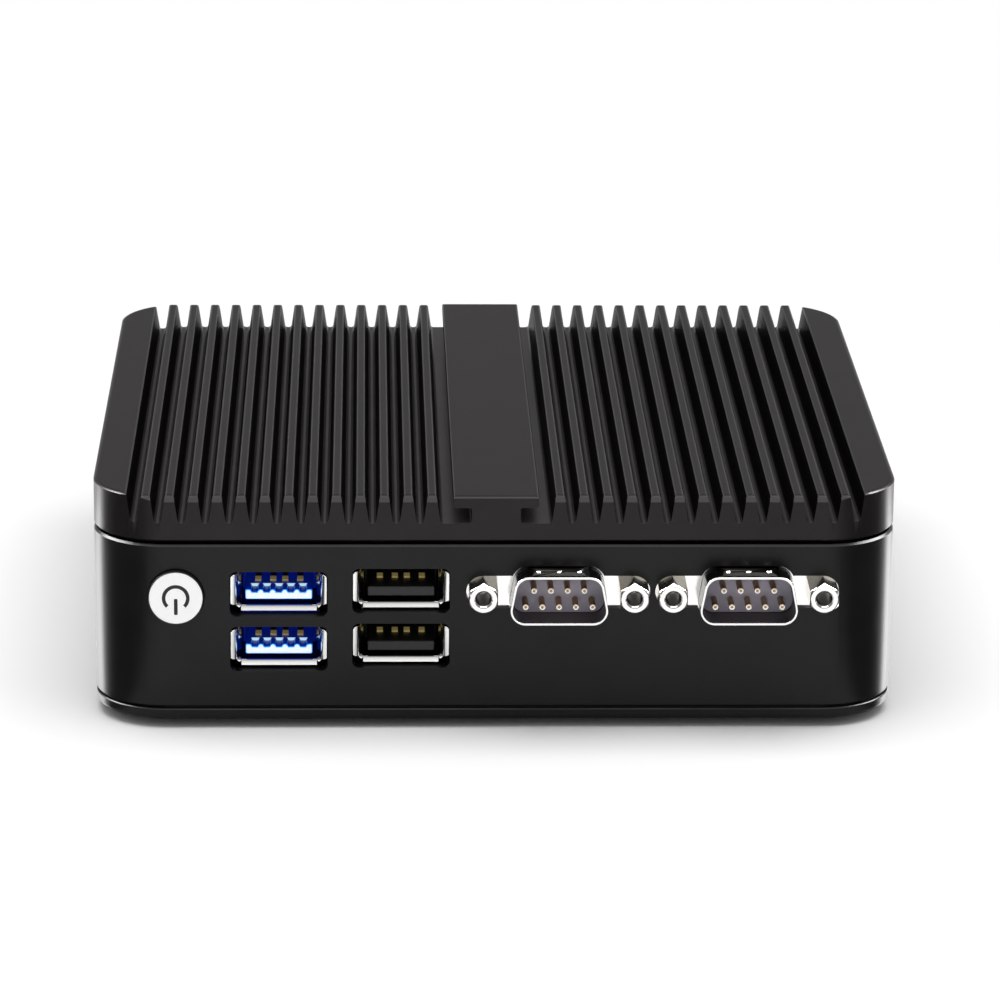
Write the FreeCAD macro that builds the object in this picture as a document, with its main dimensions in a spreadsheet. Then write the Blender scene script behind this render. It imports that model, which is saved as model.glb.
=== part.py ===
import FreeCAD, Part
import math
import operator
import os
import types
import Sketcher
from FreeCAD import Rotation, Vector

# Fanless industrial PC: a finned aluminium cover over a housing ring and a bottom plate.
# The board hangs upside down under the cover, so that the processor touches the heat sink
# and the ports on both ends hang from the board's underside.
# Frame: X to the right, Y from the front to the rear, Z up. The origin is the centre of the
# bracket holes on the underside of the bottom plate. All sizes are millimetres.

DIMENSIONS = {
    # Case
    "case_width": 134.0,
    "case_depth": 126.0,
    "corner_radius": 12.3,
    "wall": 2.5,
    "plate_thickness": 2.0,
    "edge_break": 0.3,
    # Seams between the three shells
    "lower_seam_height": 0.3,
    "upper_seam_height": 0.53,
    "seam_depth": 0.6,
    "seam_bevel": 0.35,
    "tool_overrun": 1.0,
    "port_gap": 0.3,
    # Finned cover
    "base_thickness": 3.7,
    "fin_height": 4.65,
    "fin_count": 13,
    "fin_top_width": 1.45,
    "first_fin": 10.6,
    "side_rib_width": 5.9,
    "groove_floor_width": 1.1,
    "groove_floor_radius": 0.5,
    "fin_end_chamfer": 1.0,
    # T rail along the middle of the cover
    "rail_width": 14.2,
    "rail_plate": 2.0,
    "rail_stem": 8.0,
    "rail_lip_radius": 0.6,
    "slot_corner_radius": 0.4,
    # Case screws and the posts that they run through
    "post_radius": 3.3,
    "post_inset_side": 6.2,
    "post_inset_end": 18.0,
    "case_screw_radius": 1.45,
    "case_screw_head": 2.8,
    "case_screw_bite": 2.6,
    "countersink_height": 1.4,
    "socket_radius": 1.1,
    "socket_depth": 1.0,
    "screw_clearance": 0.2,
    # Feet and bracket holes
    "foot_radius": 6.0,
    "foot_height": 1.5,
    "foot_chamfer": 0.4,
    "foot_inset_side": 21.0,
    "foot_inset_end": 14.5,
    "bracket_spacing": 75.0,
    "bracket_hole_radius": 1.65,
    "bracket_hole_depth": 3.4,
    "bracket_boss_radius": 2.35,
    "bracket_boss_height": 2.2,
    "plate_round": 0.9,
    # Board and how it hangs
    "board_thickness": 1.6,
    "board_standoff": 1.5,
    "board_gap": 0.5,
    "standoff_radius": 3.2,
    "standoff_x": 48.0,
    "standoff_y": 34.0,
    "board_screw_radius": 1.45,
    "board_screw_head": 2.7,
    "board_screw_head_height": 1.8,
    "board_screw_bite": 3.0,
    # Processor and its thermal pad
    "processor_width": 35.0,
    "processor_depth": 24.0,
    "processor_base": 0.8,
    "die_width": 14.0,
    "die_depth": 10.0,
    "thermal_pad": 0.3,
    "processor_y": 2.0,
    # Memory, wireless card and clock battery under the board
    "memory_width": 67.6,
    "memory_depth": 30.0,
    "memory_thickness": 1.2,
    "memory_drop": 3.6,
    "memory_front": -32.0,
    "memory_insertion": 3.0,
    "memory_socket_depth": 6.0,
    "memory_socket_height": 5.6,
    "memory_arm_width": 1.4,
    "memory_arm_length": 27.0,
    "memory_chip_count": 4,
    "memory_chip_pitch": 13.0,
    "memory_chip_setback": 6.0,
    "memory_chip_width": 9.0,
    "memory_chip_depth": 13.0,
    "memory_chip_height": 1.0,
    "wireless_width": 22.0,
    "wireless_depth": 30.0,
    "wireless_thickness": 0.8,
    "wireless_drop": 2.4,
    "wireless_x": -22.0,
    "wireless_front": 12.0,
    "wireless_insertion": 2.0,
    "wireless_socket_depth": 5.0,
    "wireless_socket_height": 3.6,
    "wireless_shield_inset": 3.0,
    "wireless_shield_depth": 16.0,
    "wireless_shield_height": 1.4,
    "wireless_post_radius": 2.0,
    "wireless_post_inset": 2.5,
    "card_slack": 0.1,
    "battery_radius": 10.0,
    "battery_height": 3.2,
    "battery_x": 24.0,
    "battery_y": 22.0,
    "battery_slack": 0.15,
    "battery_holder_wall": 1.2,
    "battery_holder_floor": 0.8,
    # Drive on the bottom plate and its lead
    "drive_width": 69.85,
    "drive_length": 100.0,
    "drive_height": 7.0,
    "drive_clearance": 0.6,
    "drive_corner": 1.5,
    "drive_panel_inset": 4.0,
    "drive_panel_depth": 0.3,
    "drive_y": -2.0,
    "drive_hole_spacing": 61.72,
    "drive_hole_first": 14.0,
    "drive_hole_second": 90.6,
    "drive_screw_radius": 1.4,
    "drive_screw_head": 2.6,
    "drive_screw_bite": 2.2,
    "lead_width": 14.0,
    "lead_thickness": 1.0,
    "lead_plug_width": 32.0,
    "lead_plug_depth": 6.0,
    "lead_plug_margin": 0.5,
    "lead_embedding": 1.0,
    "lead_rise": 6.0,
    "lead_header_y": 32.0,
    "lead_header_width": 18.0,
    "lead_header_depth": 6.0,
    "lead_header_height": 8.0,
    "lead_bend": 2.5,
    # Power button
    "button_x": -53.0,
    "button_drop": 5.85,
    "button_radius": 4.6,
    "button_face_radius": 4.45,
    "button_face_depth": 0.25,
    "button_proud": 1.0,
    "button_clearance": 0.18,
    "button_play": 0.1,
    "button_flange_radius": 5.2,
    "button_flange_depth": 0.8,
    "button_seat_wall": 1.8,
    "button_travel": 0.5,
    "plunger_radius": 1.5,
    "plunger_length": 4.0,
    "plunger_insertion": 1.5,
    "plunger_clearance": 0.3,
    "switch_width": 7.0,
    "switch_depth": 7.0,
    "switch_height": 9.3,
    "switch_cup_wall": 0.7,
    # Stacked pairs of USB ports
    "usb3_x": -36.0,
    "usb3_drop": 5.5,
    "usb2_x": -15.7,
    "usb2_drop": 4.95,
    "usb_pitch": 9.55,
    "usb_inner_width": 12.5,
    "usb_inner_height": 5.12,
    "usb_sheet": 0.35,
    "usb_depth": 16.5,
    "usb_can_gap": 0.2,
    "usb_can_round": 0.5,
    "usb_proud": 0.3,
    "usb_lip_width": 15.7,
    "usb_lip_height": 7.2,
    "usb_lip_depth": 1.2,
    "usb_round": 0.9,
    "usb_opening_gap": 0.28,
    "usb_block_depth": 5.0,
    "usb_tongue_width": 11.1,
    "usb_tongue_top": 0.45,
    "usb_tongue_thickness": 1.7,
    "usb_tongue_setback": 1.6,
    "usb_notch_count": 5,
    "usb_notch_pitch": 2.0,
    "usb_notch_width": 1.35,
    "usb_notch_length": 3.4,
    "usb_notch_depth": 0.5,
    "usb_contact_width": 1.0,
    "usb_contact_thickness": 0.3,
    "usb_contact_start": 4.6,
    "usb_contact_inner": 1.0,
    "usb_contact_outer": 3.5,
    # D-shaped ports: two serial ports in front, a display port at the rear
    "com1_x": 10.4,
    "com2_x": 41.8,
    "dsub_drop": 5.1,
    "dsub_height": 8.36,
    "dsub_wide": 17.1,
    "dsub_narrow": 14.15,
    "dsub_round": 2.5,
    "dsub_sheet": 0.4,
    "dsub_reach": 6.0,
    "dsub_flange_width": 30.8,
    "dsub_flange_height": 12.5,
    "dsub_flange_round": 1.5,
    "dsub_flange_sheet": 0.8,
    "dsub_lip": 0.8,
    "dsub_slot_height": 5.6,
    "dsub_screw_spacing": 24.99,
    "dsub_screw_hole": 1.55,
    "dsub_face": 0.7,
    "dsub_body_width": 19.0,
    "dsub_body_depth": 9.0,
    "dsub_pin_pitch": 2.77,
    "dsub_row_spacing": 2.84,
    "dsub_pin_radius": 0.5,
    "dsub_pin_length": 4.7,
    "dsub_pin_root": 2.0,
    "fit_gap": 0.05,
    "jackscrew_flats": 4.75,
    "jackscrew_length": 5.0,
    "jackscrew_crown": 4.46,
    "jackscrew_crown_angle": 40.0,
    "jackscrew_mouth": 0.35,
    "jackscrew_overlap": 0.5,
    "jackscrew_bore": 1.2,
    "jackscrew_bore_depth": 4.0,
    "jackscrew_shank": 1.4,
    "jackscrew_shank_length": 3.0,
    "display_x": -24.6,
    "display_hole_pitch": 2.29,
    "display_row_spacing": 1.98,
    "display_hole_radius": 0.45,
    "display_hole_depth": 4.0,
    "display_face_setback": 0.3,
    # Display port with flat tongue
    "hdmi_x": 0.6,
    "hdmi_drop": 3.4,
    "hdmi_width": 14.0,
    "hdmi_height": 4.55,
    "hdmi_corner": 1.3,
    "hdmi_sheet": 0.4,
    "hdmi_depth": 11.0,
    "hdmi_back_wall": 1.5,
    "hdmi_leg_x": 5.0,
    "hdmi_leg_width": 0.8,
    "hdmi_leg_start": 6.0,
    "hdmi_leg_depth": 2.0,
    "hdmi_tongue_setback": 1.2,
    "hdmi_tongue_width": 10.0,
    "hdmi_tongue_thickness": 1.2,
    # Network jacks
    "lan1_x": 18.2,
    "lan2_x": 35.8,
    "lan_width": 16.2,
    "lan_height": 13.5,
    "lan_depth": 21.0,
    "lan_sheet": 0.3,
    "lan_proud": 0.3,
    "lan_cavity_width": 11.8,
    "lan_cavity_height": 8.0,
    "lan_cavity_depth": 14.0,
    "lan_cavity_drop": 8.2,
    "lan_latch_width": 6.2,
    "lan_latch_height": 1.0,
    "lan_round": 0.4,
    # Power inlet and audio jack
    "inlet_x": -46.0,
    "inlet_drop": 6.5,
    "inlet_body_width": 9.0,
    "inlet_body_depth": 11.0,
    "inlet_nose_radius": 4.1,
    "inlet_bore_radius": 3.15,
    "inlet_bore_depth": 9.0,
    "inlet_pin_radius": 1.05,
    "inlet_pin_setback": 1.0,
    "audio_x": 48.8,
    "audio_drop": 3.5,
    "audio_nose_radius": 2.9,
    "audio_bore_radius": 1.8,
    "audio_bore_depth": 12.0,
    "audio_body_width": 6.4,
    "audio_body_depth": 11.0,
    "barrel_case_gap": 0.2,
    # Antenna jacks
    "antenna_x": 49.0,
    "antenna_rise": 6.8,
    "antenna_radius": 3.1,
    "antenna_neck": 3.0,
    "antenna_relief": 0.5,
    "antenna_bore": 2.2,
    "antenna_bore_depth": 6.5,
    "antenna_reach": 8.5,
    "antenna_flange": 4.4,
    "antenna_flange_depth": 1.5,
    "antenna_pin_radius": 0.5,
    "antenna_nut_flats": 8.0,
    "antenna_nut_height": 2.2,
    "antenna_nut_gap": 0.05,
    "antenna_tail_radius": 1.4,
    "antenna_tail": 3.0,
    "antenna_hole_gap": 0.1,
    "antenna_pin_setback": 1.0,
    "aerial_lead_radius": 0.55,
    "aerial_lead_gap": 0.02,
    "aerial_lead_inset": 4.0,
}

doc = FreeCAD.newDocument("fanless_pc")
sheet = doc.addObject("Spreadsheet::Sheet", "Dims")
for row, (alias, amount) in enumerate(DIMENSIONS.items(), start=1):
    sheet.set(f"A{row}", alias)
    sheet.set(f"B{row}", str(amount))
    sheet.setAlias(f"B{row}", alias)
doc.recompute()


class Size:
    """A number that also carries the spreadsheet expression it comes from."""

    def __init__(self, number, text):
        self.number = float(number)
        self.text = text

    def __add__(self, other):
        return combined(self, "+", other)

    def __radd__(self, other):
        return combined(other, "+", self)

    def __sub__(self, other):
        return combined(self, "-", other)

    def __rsub__(self, other):
        return combined(other, "-", self)

    def __mul__(self, other):
        return combined(self, "*", other)

    def __rmul__(self, other):
        return combined(other, "*", self)

    def __truediv__(self, other):
        return combined(self, "/", other)

    def __neg__(self):
        return combined(0, "-", self)


OPERATIONS = {"+": operator.add, "-": operator.sub, "*": operator.mul, "/": operator.truediv}


def as_size(amount):
    """Plain numbers become sizes with their own digits as text."""
    if isinstance(amount, Size):
        return amount
    return Size(amount, f"({float(amount)!r})")


def combined(left, sign, right):
    left, right = as_size(left), as_size(right)
    number = OPERATIONS[sign](left.number, right.number)
    return Size(number, f"({left.text} {sign} {right.text})")


d = types.SimpleNamespace()
for alias in DIMENSIONS:
    setattr(d, alias, Size(sheet.get(alias), f"Dims.{alias}"))


# Ways of making things

def bind(thing, prop, amount):
    """Tie one property to its expression."""
    thing.setExpression(prop, as_size(amount).text)


def place(thing, x, y, z, turn=None):
    """Put a piece at its place, turned first if need be."""
    if turn is not None:
        thing.Placement = FreeCAD.Placement(Vector(0, 0, 0), turn)
    for axis, amount in zip("xyz", (x, y, z)):
        bind(thing, f"Placement.Base.{axis}", amount)


WAYS = {
    "up": Rotation(),
    "rear": Rotation(Vector(1, 0, 0), -90),
    "rear_point_up": Rotation(Vector(0, 1, 0), 30) * Rotation(Vector(1, 0, 0), -90),
}
TURNED_TO_REAR = Rotation(Vector(0, 0, 1), 180)


def block(name, across, along, upright):
    """Box between pairs of low and high values on the three axes."""
    made = doc.addObject("Part::Box", name)
    for prop, (low, high) in zip(("Length", "Width", "Height"), (across, along, upright)):
        bind(made, prop, as_size(high) - low)
    place(made, across[0], along[0], upright[0])
    return made


def cylinder(name, x, y, z, radius, length, way="up"):
    made = doc.addObject("Part::Cylinder", name)
    bind(made, "Radius", radius)
    bind(made, "Height", length)
    place(made, x, y, z, WAYS[way])
    return made


def cone(name, x, y, z, first, second, length, way="up"):
    made = doc.addObject("Part::Cone", name)
    bind(made, "Radius1", first)
    bind(made, "Radius2", second)
    bind(made, "Height", length)
    place(made, x, y, z, WAYS[way])
    return made


def hexagon(name, x, y, z, flats, length, way="up"):
    """Hexagonal bar of a given width across its flats."""
    made = doc.addObject("Part::Prism", name)
    made.Polygon = 6
    bind(made, "Circumradius", flats / math.sqrt(3.0))
    bind(made, "Height", length)
    place(made, x, y, z, WAYS[way])
    return made


def fused(name, pieces):
    made = doc.addObject("Part::MultiFuse", name)
    made.Shapes = pieces
    made.Refine = True
    return made


def grouped(name, pieces):
    """Separate solids that share one name."""
    made = doc.addObject("Part::Compound", name)
    made.Links = pieces
    return made


def shared(name, pieces):
    """What all the pieces have in common."""
    made = doc.addObject("Part::MultiCommon", name)
    made.Shapes = pieces
    made.Refine = True
    return made


def cut(name, base, tools):
    made = doc.addObject("Part::Cut", name)
    made.Base = base
    made.Tool = tools[0] if len(tools) == 1 else fused(name + "_tools", tools)
    return made


def body(name):
    return doc.addObject("PartDesign::Body", name)


def drawing(owner, role, rise=0):
    """Sketch on one of the body's own planes, lifted along the plane's normal."""
    drawn = owner.newObject("Sketcher::SketchObject", f"{owner.Name}_sketch")
    plane = [entry for entry in owner.Origin.OriginFeatures if entry.Role == role][0]
    drawn.AttachmentSupport = [(plane, "")]
    drawn.MapMode = "FlatFace"
    bind(drawn, "AttachmentOffset.Base.z", rise)
    return drawn


def pin_point(drawn, element, end, point):
    """Fix one end of a sketch element by its two distances from the origin."""
    for kind, amount in (("DistanceX", point[0]), ("DistanceY", point[1])):
        made = Sketcher.Constraint(kind, -1, 1, element, end, as_size(amount).number)
        bind(drawn, f"Constraints[{drawn.addConstraint(made)}]", amount)


def corner_ends(before, corner, after, radius):
    """The two ends of the round at a corner, and the middle of its arc for drawing it."""
    start = [as_size(value) for value in before]
    here = [as_size(value) for value in corner]
    stop = [as_size(value) for value in after]
    back = Vector(start[0].number - here[0].number, start[1].number - here[1].number, 0)
    ahead = Vector(stop[0].number - here[0].number, stop[1].number - here[1].number, 0)
    back.normalize()
    ahead.normalize()
    half = back.getAngle(ahead) / 2
    run = as_size(radius) / math.tan(half)
    entry = (here[0] + run * back.x, here[1] + run * back.y)
    leave = (here[0] + run * ahead.x, here[1] + run * ahead.y)
    middle = (back + ahead).normalize()
    depth = as_size(radius).number * (1 / math.sin(half) - 1)
    crown = Vector(here[0].number, here[1].number, 0) + middle * depth
    return entry, leave, crown


def flat(point):
    return Vector(as_size(point[0]).number, as_size(point[1]).number, 0)


def loop(drawn, corners, radii=0):
    """Closed outline through corners, each with its own round; every end is tied to the sizes."""
    if not isinstance(radii, (list, tuple)):
        radii = [radii] * len(corners)
    rounds = []
    for index, corner in enumerate(corners):
        if as_size(radii[index]).number <= 0:
            rounds.append((corner, corner, None))
        else:
            after = corners[(index + 1) % len(corners)]
            rounds.append(corner_ends(corners[index - 1], corner, after, radii[index]))
    lines = []
    for index, (entry, leave, crown) in enumerate(rounds):
        following = rounds[(index + 1) % len(rounds)][0]
        line = drawn.addGeometry(Part.LineSegment(flat(leave), flat(following)))
        pin_point(drawn, line, 1, leave)
        pin_point(drawn, line, 2, following)
        lines.append(line)
    for index, (entry, leave, crown) in enumerate(rounds):
        if crown is None:
            continue
        anticlockwise = (crown - flat(entry)).cross(flat(leave) - crown).z > 0
        ends = (entry, leave) if anticlockwise else (leave, entry)
        arc = drawn.addGeometry(Part.Arc(flat(ends[0]), crown, flat(ends[1])))
        first_end = 1 if anticlockwise else 2
        drawn.addConstraint(Sketcher.Constraint("Tangent", lines[index - 1], 2, arc, first_end))
        drawn.addConstraint(Sketcher.Constraint("Coincident", arc, 3 - first_end, lines[index], 1))


def ring(drawn, x, y, radius):
    """Circle tied to its centre and radius."""
    centre = Vector(as_size(x).number, as_size(y).number, 0)
    circle = drawn.addGeometry(Part.Circle(centre, Vector(0, 0, 1), as_size(radius).number))
    pin_point(drawn, circle, 3, (x, y))
    held = drawn.addConstraint(Sketcher.Constraint("Radius", circle, as_size(radius).number))
    bind(drawn, f"Constraints[{held}]", radius)


def box_corners(width, height, x=0, y=0):
    """Four corners of a rectangle about a centre."""
    half_width, half_height = as_size(width) / 2, as_size(height) / 2
    return [
        (x - half_width, y - half_height),
        (x + half_width, y - half_height),
        (x + half_width, y + half_height),
        (x - half_width, y + half_height),
    ]


def pad(owner, drawn, length):
    made = owner.newObject("PartDesign::Pad", f"{owner.Name}_pad")
    made.Profile = drawn
    bind(made, "Length", length)
    return made


def pocket(owner, drawn, length, along_normal=False):
    made = owner.newObject("PartDesign::Pocket", f"{owner.Name}_pocket")
    made.Profile = drawn
    made.Reversed = along_normal
    bind(made, "Length", length)
    return made


def through_pocket(owner, drawn):
    made = owner.newObject("PartDesign::Pocket", f"{owner.Name}_pocket")
    made.Profile = drawn
    made.Type = "ThroughAll"
    made.SideType = "Symmetric"
    return made


def edges_where(feature, wanted):
    """Names of the edges whose middle point passes a test."""
    names = []
    for number, edge in enumerate(feature.Shape.Edges, start=1):
        middle = edge.valueAt((edge.FirstParameter + edge.LastParameter) / 2)
        if wanted(middle, edge):
            names.append(f"Edge{number}")
    return names


def dressed(owner, kind, feature, wanted, amount):
    """Fillet or Chamfer on the chosen edges of a feature."""
    doc.recompute()
    made = owner.newObject(f"PartDesign::{kind}", f"{owner.Name}_{kind.lower()}")
    made.Base = (feature, edges_where(feature, wanted))
    bind(made, "Radius" if kind == "Fillet" else "Size", amount)
    return made


def prism(name, role, corners, radii, low, high):
    """Outline on a plane, thickened between two places on the plane's axis."""
    made = body(name)
    start = -as_size(high) if role == "XZ_Plane" else low
    drawn = drawing(made, role, start)
    loop(drawn, corners, radii)
    pad(made, drawn, as_size(high) - low)
    return made


def funnel(name, near_corners, near_round, far_corners, far_round, near_y, far_y):
    """Straight-sided loft between two rounded outlines that face the front."""
    made = body(name)
    near = drawing(made, "XZ_Plane", -as_size(near_y))
    loop(near, near_corners, near_round)
    far = drawing(made, "XZ_Plane", -as_size(far_y))
    loop(far, far_corners, far_round)
    loft = made.newObject("PartDesign::AdditiveLoft", f"{name}_loft")
    loft.Profile = near
    loft.Sections = [far]
    loft.Ruled = True
    return made


PARTS = {}


def part(name, made):
    """Name a finished sub-part."""
    made.Label = name
    PARTS[name] = made
    return made


# Levels and places that follow from the driving sizes

front = -d.case_depth / 2
rear = d.case_depth / 2
plate_top = d.plate_thickness
drive_top = plate_top + d.drive_height
usb_outer_height = d.usb_inner_height + 2 * d.usb_sheet
usb_stack_height = d.usb3_drop + d.usb_pitch + usb_outer_height / 2
board_under = drive_top + d.drive_clearance + usb_stack_height
board_top = board_under + d.board_thickness
cover_under = board_top + d.board_standoff
groove_floor = cover_under + d.base_thickness
case_top = groove_floor + d.fin_height
rib_inner = d.case_width / 2 - d.side_rib_width
fin_pitch = (rib_inner + d.fin_top_width / 2 - d.first_fin) / d.fin_count
groove_top_width = fin_pitch - d.fin_top_width
post_x = d.case_width / 2 - d.post_inset_side
post_y = d.case_depth / 2 - d.post_inset_end
CORNERS = ((-1, -1), (1, -1), (-1, 1), (1, 1))


# Finned cover: one extruded and milled aluminium piece

def heatsink_cover():
    cover = body("heatsink_cover")
    step = drawing(cover, "XY_Plane", cover_under)
    step_width = d.case_width - 2 * d.seam_depth
    step_depth = d.case_depth - 2 * d.seam_depth
    loop(step, box_corners(step_width, step_depth), d.corner_radius - d.seam_depth)
    pad(cover, step, d.upper_seam_height)
    shell_under = cover_under + d.upper_seam_height
    outline = drawing(cover, "XY_Plane", shell_under)
    loop(outline, box_corners(d.case_width, d.case_depth), d.corner_radius)
    blank = pad(cover, outline, case_top - shell_under)

    def on_rim(level):
        reach = d.case_width.number / 2 - d.corner_radius.number
        depth = d.case_depth.number / 2 - d.corner_radius.number
        inset = d.corner_radius.number - d.seam_depth.number / 2

        def wanted(middle, edge):
            outside = math.hypot(max(abs(middle.x) - reach, 0), max(abs(middle.y) - depth, 0))
            return abs(middle.z - level.number) < 1e-4 and outside > inset
        return wanted

    top_break = dressed(cover, "Chamfer", blank, on_rim(case_top), d.edge_break)
    dressed(cover, "Chamfer", top_break, on_rim(shell_under), d.seam_bevel)

    # Tapered grooves with rounded floors, repeated outwards from the rail on each side
    for side in (-1, 1):
        centre = side * (d.first_fin + fin_pitch / 2)
        above = case_top + d.tool_overrun
        slope = (groove_top_width - d.groove_floor_width) / 2 / d.fin_height
        flare = slope * (d.fin_height + d.tool_overrun)
        foot = d.groove_floor_width / 2
        groove = drawing(cover, "XZ_Plane")
        loop(groove, [
            (centre - foot, groove_floor),
            (centre + foot, groove_floor),
            (centre + foot + flare, above),
            (centre - foot - flare, above),
        ], [d.groove_floor_radius, d.groove_floor_radius, 0, 0])
        first = through_pocket(cover, groove)
        row = cover.newObject("PartDesign::LinearPattern", "grooves")
        row.Originals = [first]
        axis = [entry for entry in cover.Origin.OriginFeatures if entry.Role == "X_Axis"][0]
        row.Direction = (axis, [""])
        row.Reversed = side < 0
        bind(row, "Length", fin_pitch * (d.fin_count - 1))
        bind(row, "Occurrences", d.fin_count)
        cover.Tip = row

    # Wider grooves that run in under the rail and leave it standing as a T
    for side in (-1, 1):
        slope = (groove_top_width - d.groove_floor_width) / 2 / d.fin_height
        above = case_top + d.tool_overrun
        fin_edge = d.first_fin - d.fin_top_width / 2 + slope * d.tool_overrun
        foot = side * (fin_edge - slope * (d.fin_height + d.tool_overrun))
        slot = drawing(cover, "XZ_Plane")
        loop(slot, [
            (side * d.rail_stem / 2, groove_floor),
            (foot, groove_floor),
            (side * fin_edge, above),
            (side * d.rail_width / 2, above),
            (side * d.rail_width / 2, case_top - d.rail_plate),
            (side * d.rail_stem / 2, case_top - d.rail_plate),
        ], [d.slot_corner_radius, d.groove_floor_radius, 0, 0, d.rail_lip_radius, d.slot_corner_radius])
        through_pocket(cover, slot)

    # Fins are bevelled at both ends; the rail and the side ribs are not
    for side in (-1, 1):
        inner = d.rail_width / 2
        start = inner if side > 0 else -rib_inner
        ends = drawing(cover, "YZ_Plane", start)
        for y, inwards in ((front, 1), (rear, -1)):
            outside = y - inwards * d.tool_overrun
            above = case_top + d.tool_overrun
            reach = d.fin_end_chamfer + d.tool_overrun
            loop(ends, [(outside, case_top - reach), (y + inwards * reach, above), (outside, above)])
        pocket(cover, ends, rib_inner - inner, along_normal=True)

    # Standoffs that carry the board, with tapped holes, and tapped holes for the case screws
    standoffs = drawing(cover, "XY_Plane", board_top)
    for side, end in CORNERS:
        ring(standoffs, side * d.standoff_x, end * d.standoff_y, d.standoff_radius)
    pad(cover, standoffs, d.board_standoff)
    taps = drawing(cover, "XY_Plane", board_top)
    for side, end in CORNERS:
        ring(taps, side * d.standoff_x, end * d.standoff_y, d.board_screw_radius)
    pocket(cover, taps, d.board_screw_bite, along_normal=True)
    case_taps = drawing(cover, "XY_Plane", cover_under)
    for side, end in CORNERS:
        ring(case_taps, side * post_x, end * post_y, d.case_screw_radius)
    pocket(cover, case_taps, d.case_screw_bite, along_normal=True)
    return part("heatsink_cover", cover)


# Housing ring: four walls in one piece, with posts for the case screws and the port openings

through_wall = (-d.tool_overrun, d.wall + d.tool_overrun)

def dsub_corners(grow):
    """The D outline about its centre, wide side down."""
    low = -(d.dsub_height / 2 + grow)
    high = d.dsub_height / 2 + grow
    wide = d.dsub_wide / 2 + grow
    narrow = d.dsub_narrow / 2 + grow
    return [(-wide, low), (wide, low), (narrow, high), (-narrow, high)]


def dsub_opening(name):
    """Tool for one D port: the D, the slot for its jackscrews and the pocket for its flange."""
    hole = prism(name + "_d", "XZ_Plane", dsub_corners(d.port_gap), d.dsub_round + d.port_gap,
                 *through_wall)
    slot_length = d.dsub_screw_spacing + d.dsub_slot_height
    slot = prism(name + "_slot", "XZ_Plane", box_corners(slot_length, d.dsub_slot_height),
                 d.dsub_slot_height * 0.499, *through_wall)
    seat = prism(name + "_seat", "XZ_Plane",
                 box_corners(d.dsub_flange_width + d.port_gap, d.dsub_flange_height + d.port_gap),
                 d.dsub_flange_round, d.dsub_lip, through_wall[1])
    return fused(name, [hole, slot, seat])


def usb_opening(name):
    """Tool for one stacked pair: two rounded windows."""
    width = d.usb_lip_width + 2 * d.usb_opening_gap
    height = d.usb_lip_height + 2 * d.usb_opening_gap
    windows = []
    for level, z in (("upper", 0), ("lower", -d.usb_pitch)):
        windows.append(prism(f"{name}_{level}", "XZ_Plane", box_corners(width, height, 0, z),
                             d.usb_round + d.usb_opening_gap, *through_wall))
    return grouped(name, windows)


def lan_opening(name):
    middle = d.lan_cavity_drop - d.lan_height / 2
    outline = box_corners(d.lan_width + 2 * d.port_gap, d.lan_height + 2 * d.port_gap, 0, middle)
    return prism(name, "XZ_Plane", outline, d.lan_round, *through_wall)


def hdmi_corners(grow):
    """Flat port outline with its two upper corners cut off."""
    wide = d.hdmi_width / 2 + grow
    tall = d.hdmi_height / 2 + grow
    nip = d.hdmi_corner + grow * (2 - math.sqrt(2))
    return [(-wide, -tall), (wide, -tall), (wide, tall - nip), (wide - nip, tall),
            (nip - wide, tall), (-wide, tall - nip)]


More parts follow.
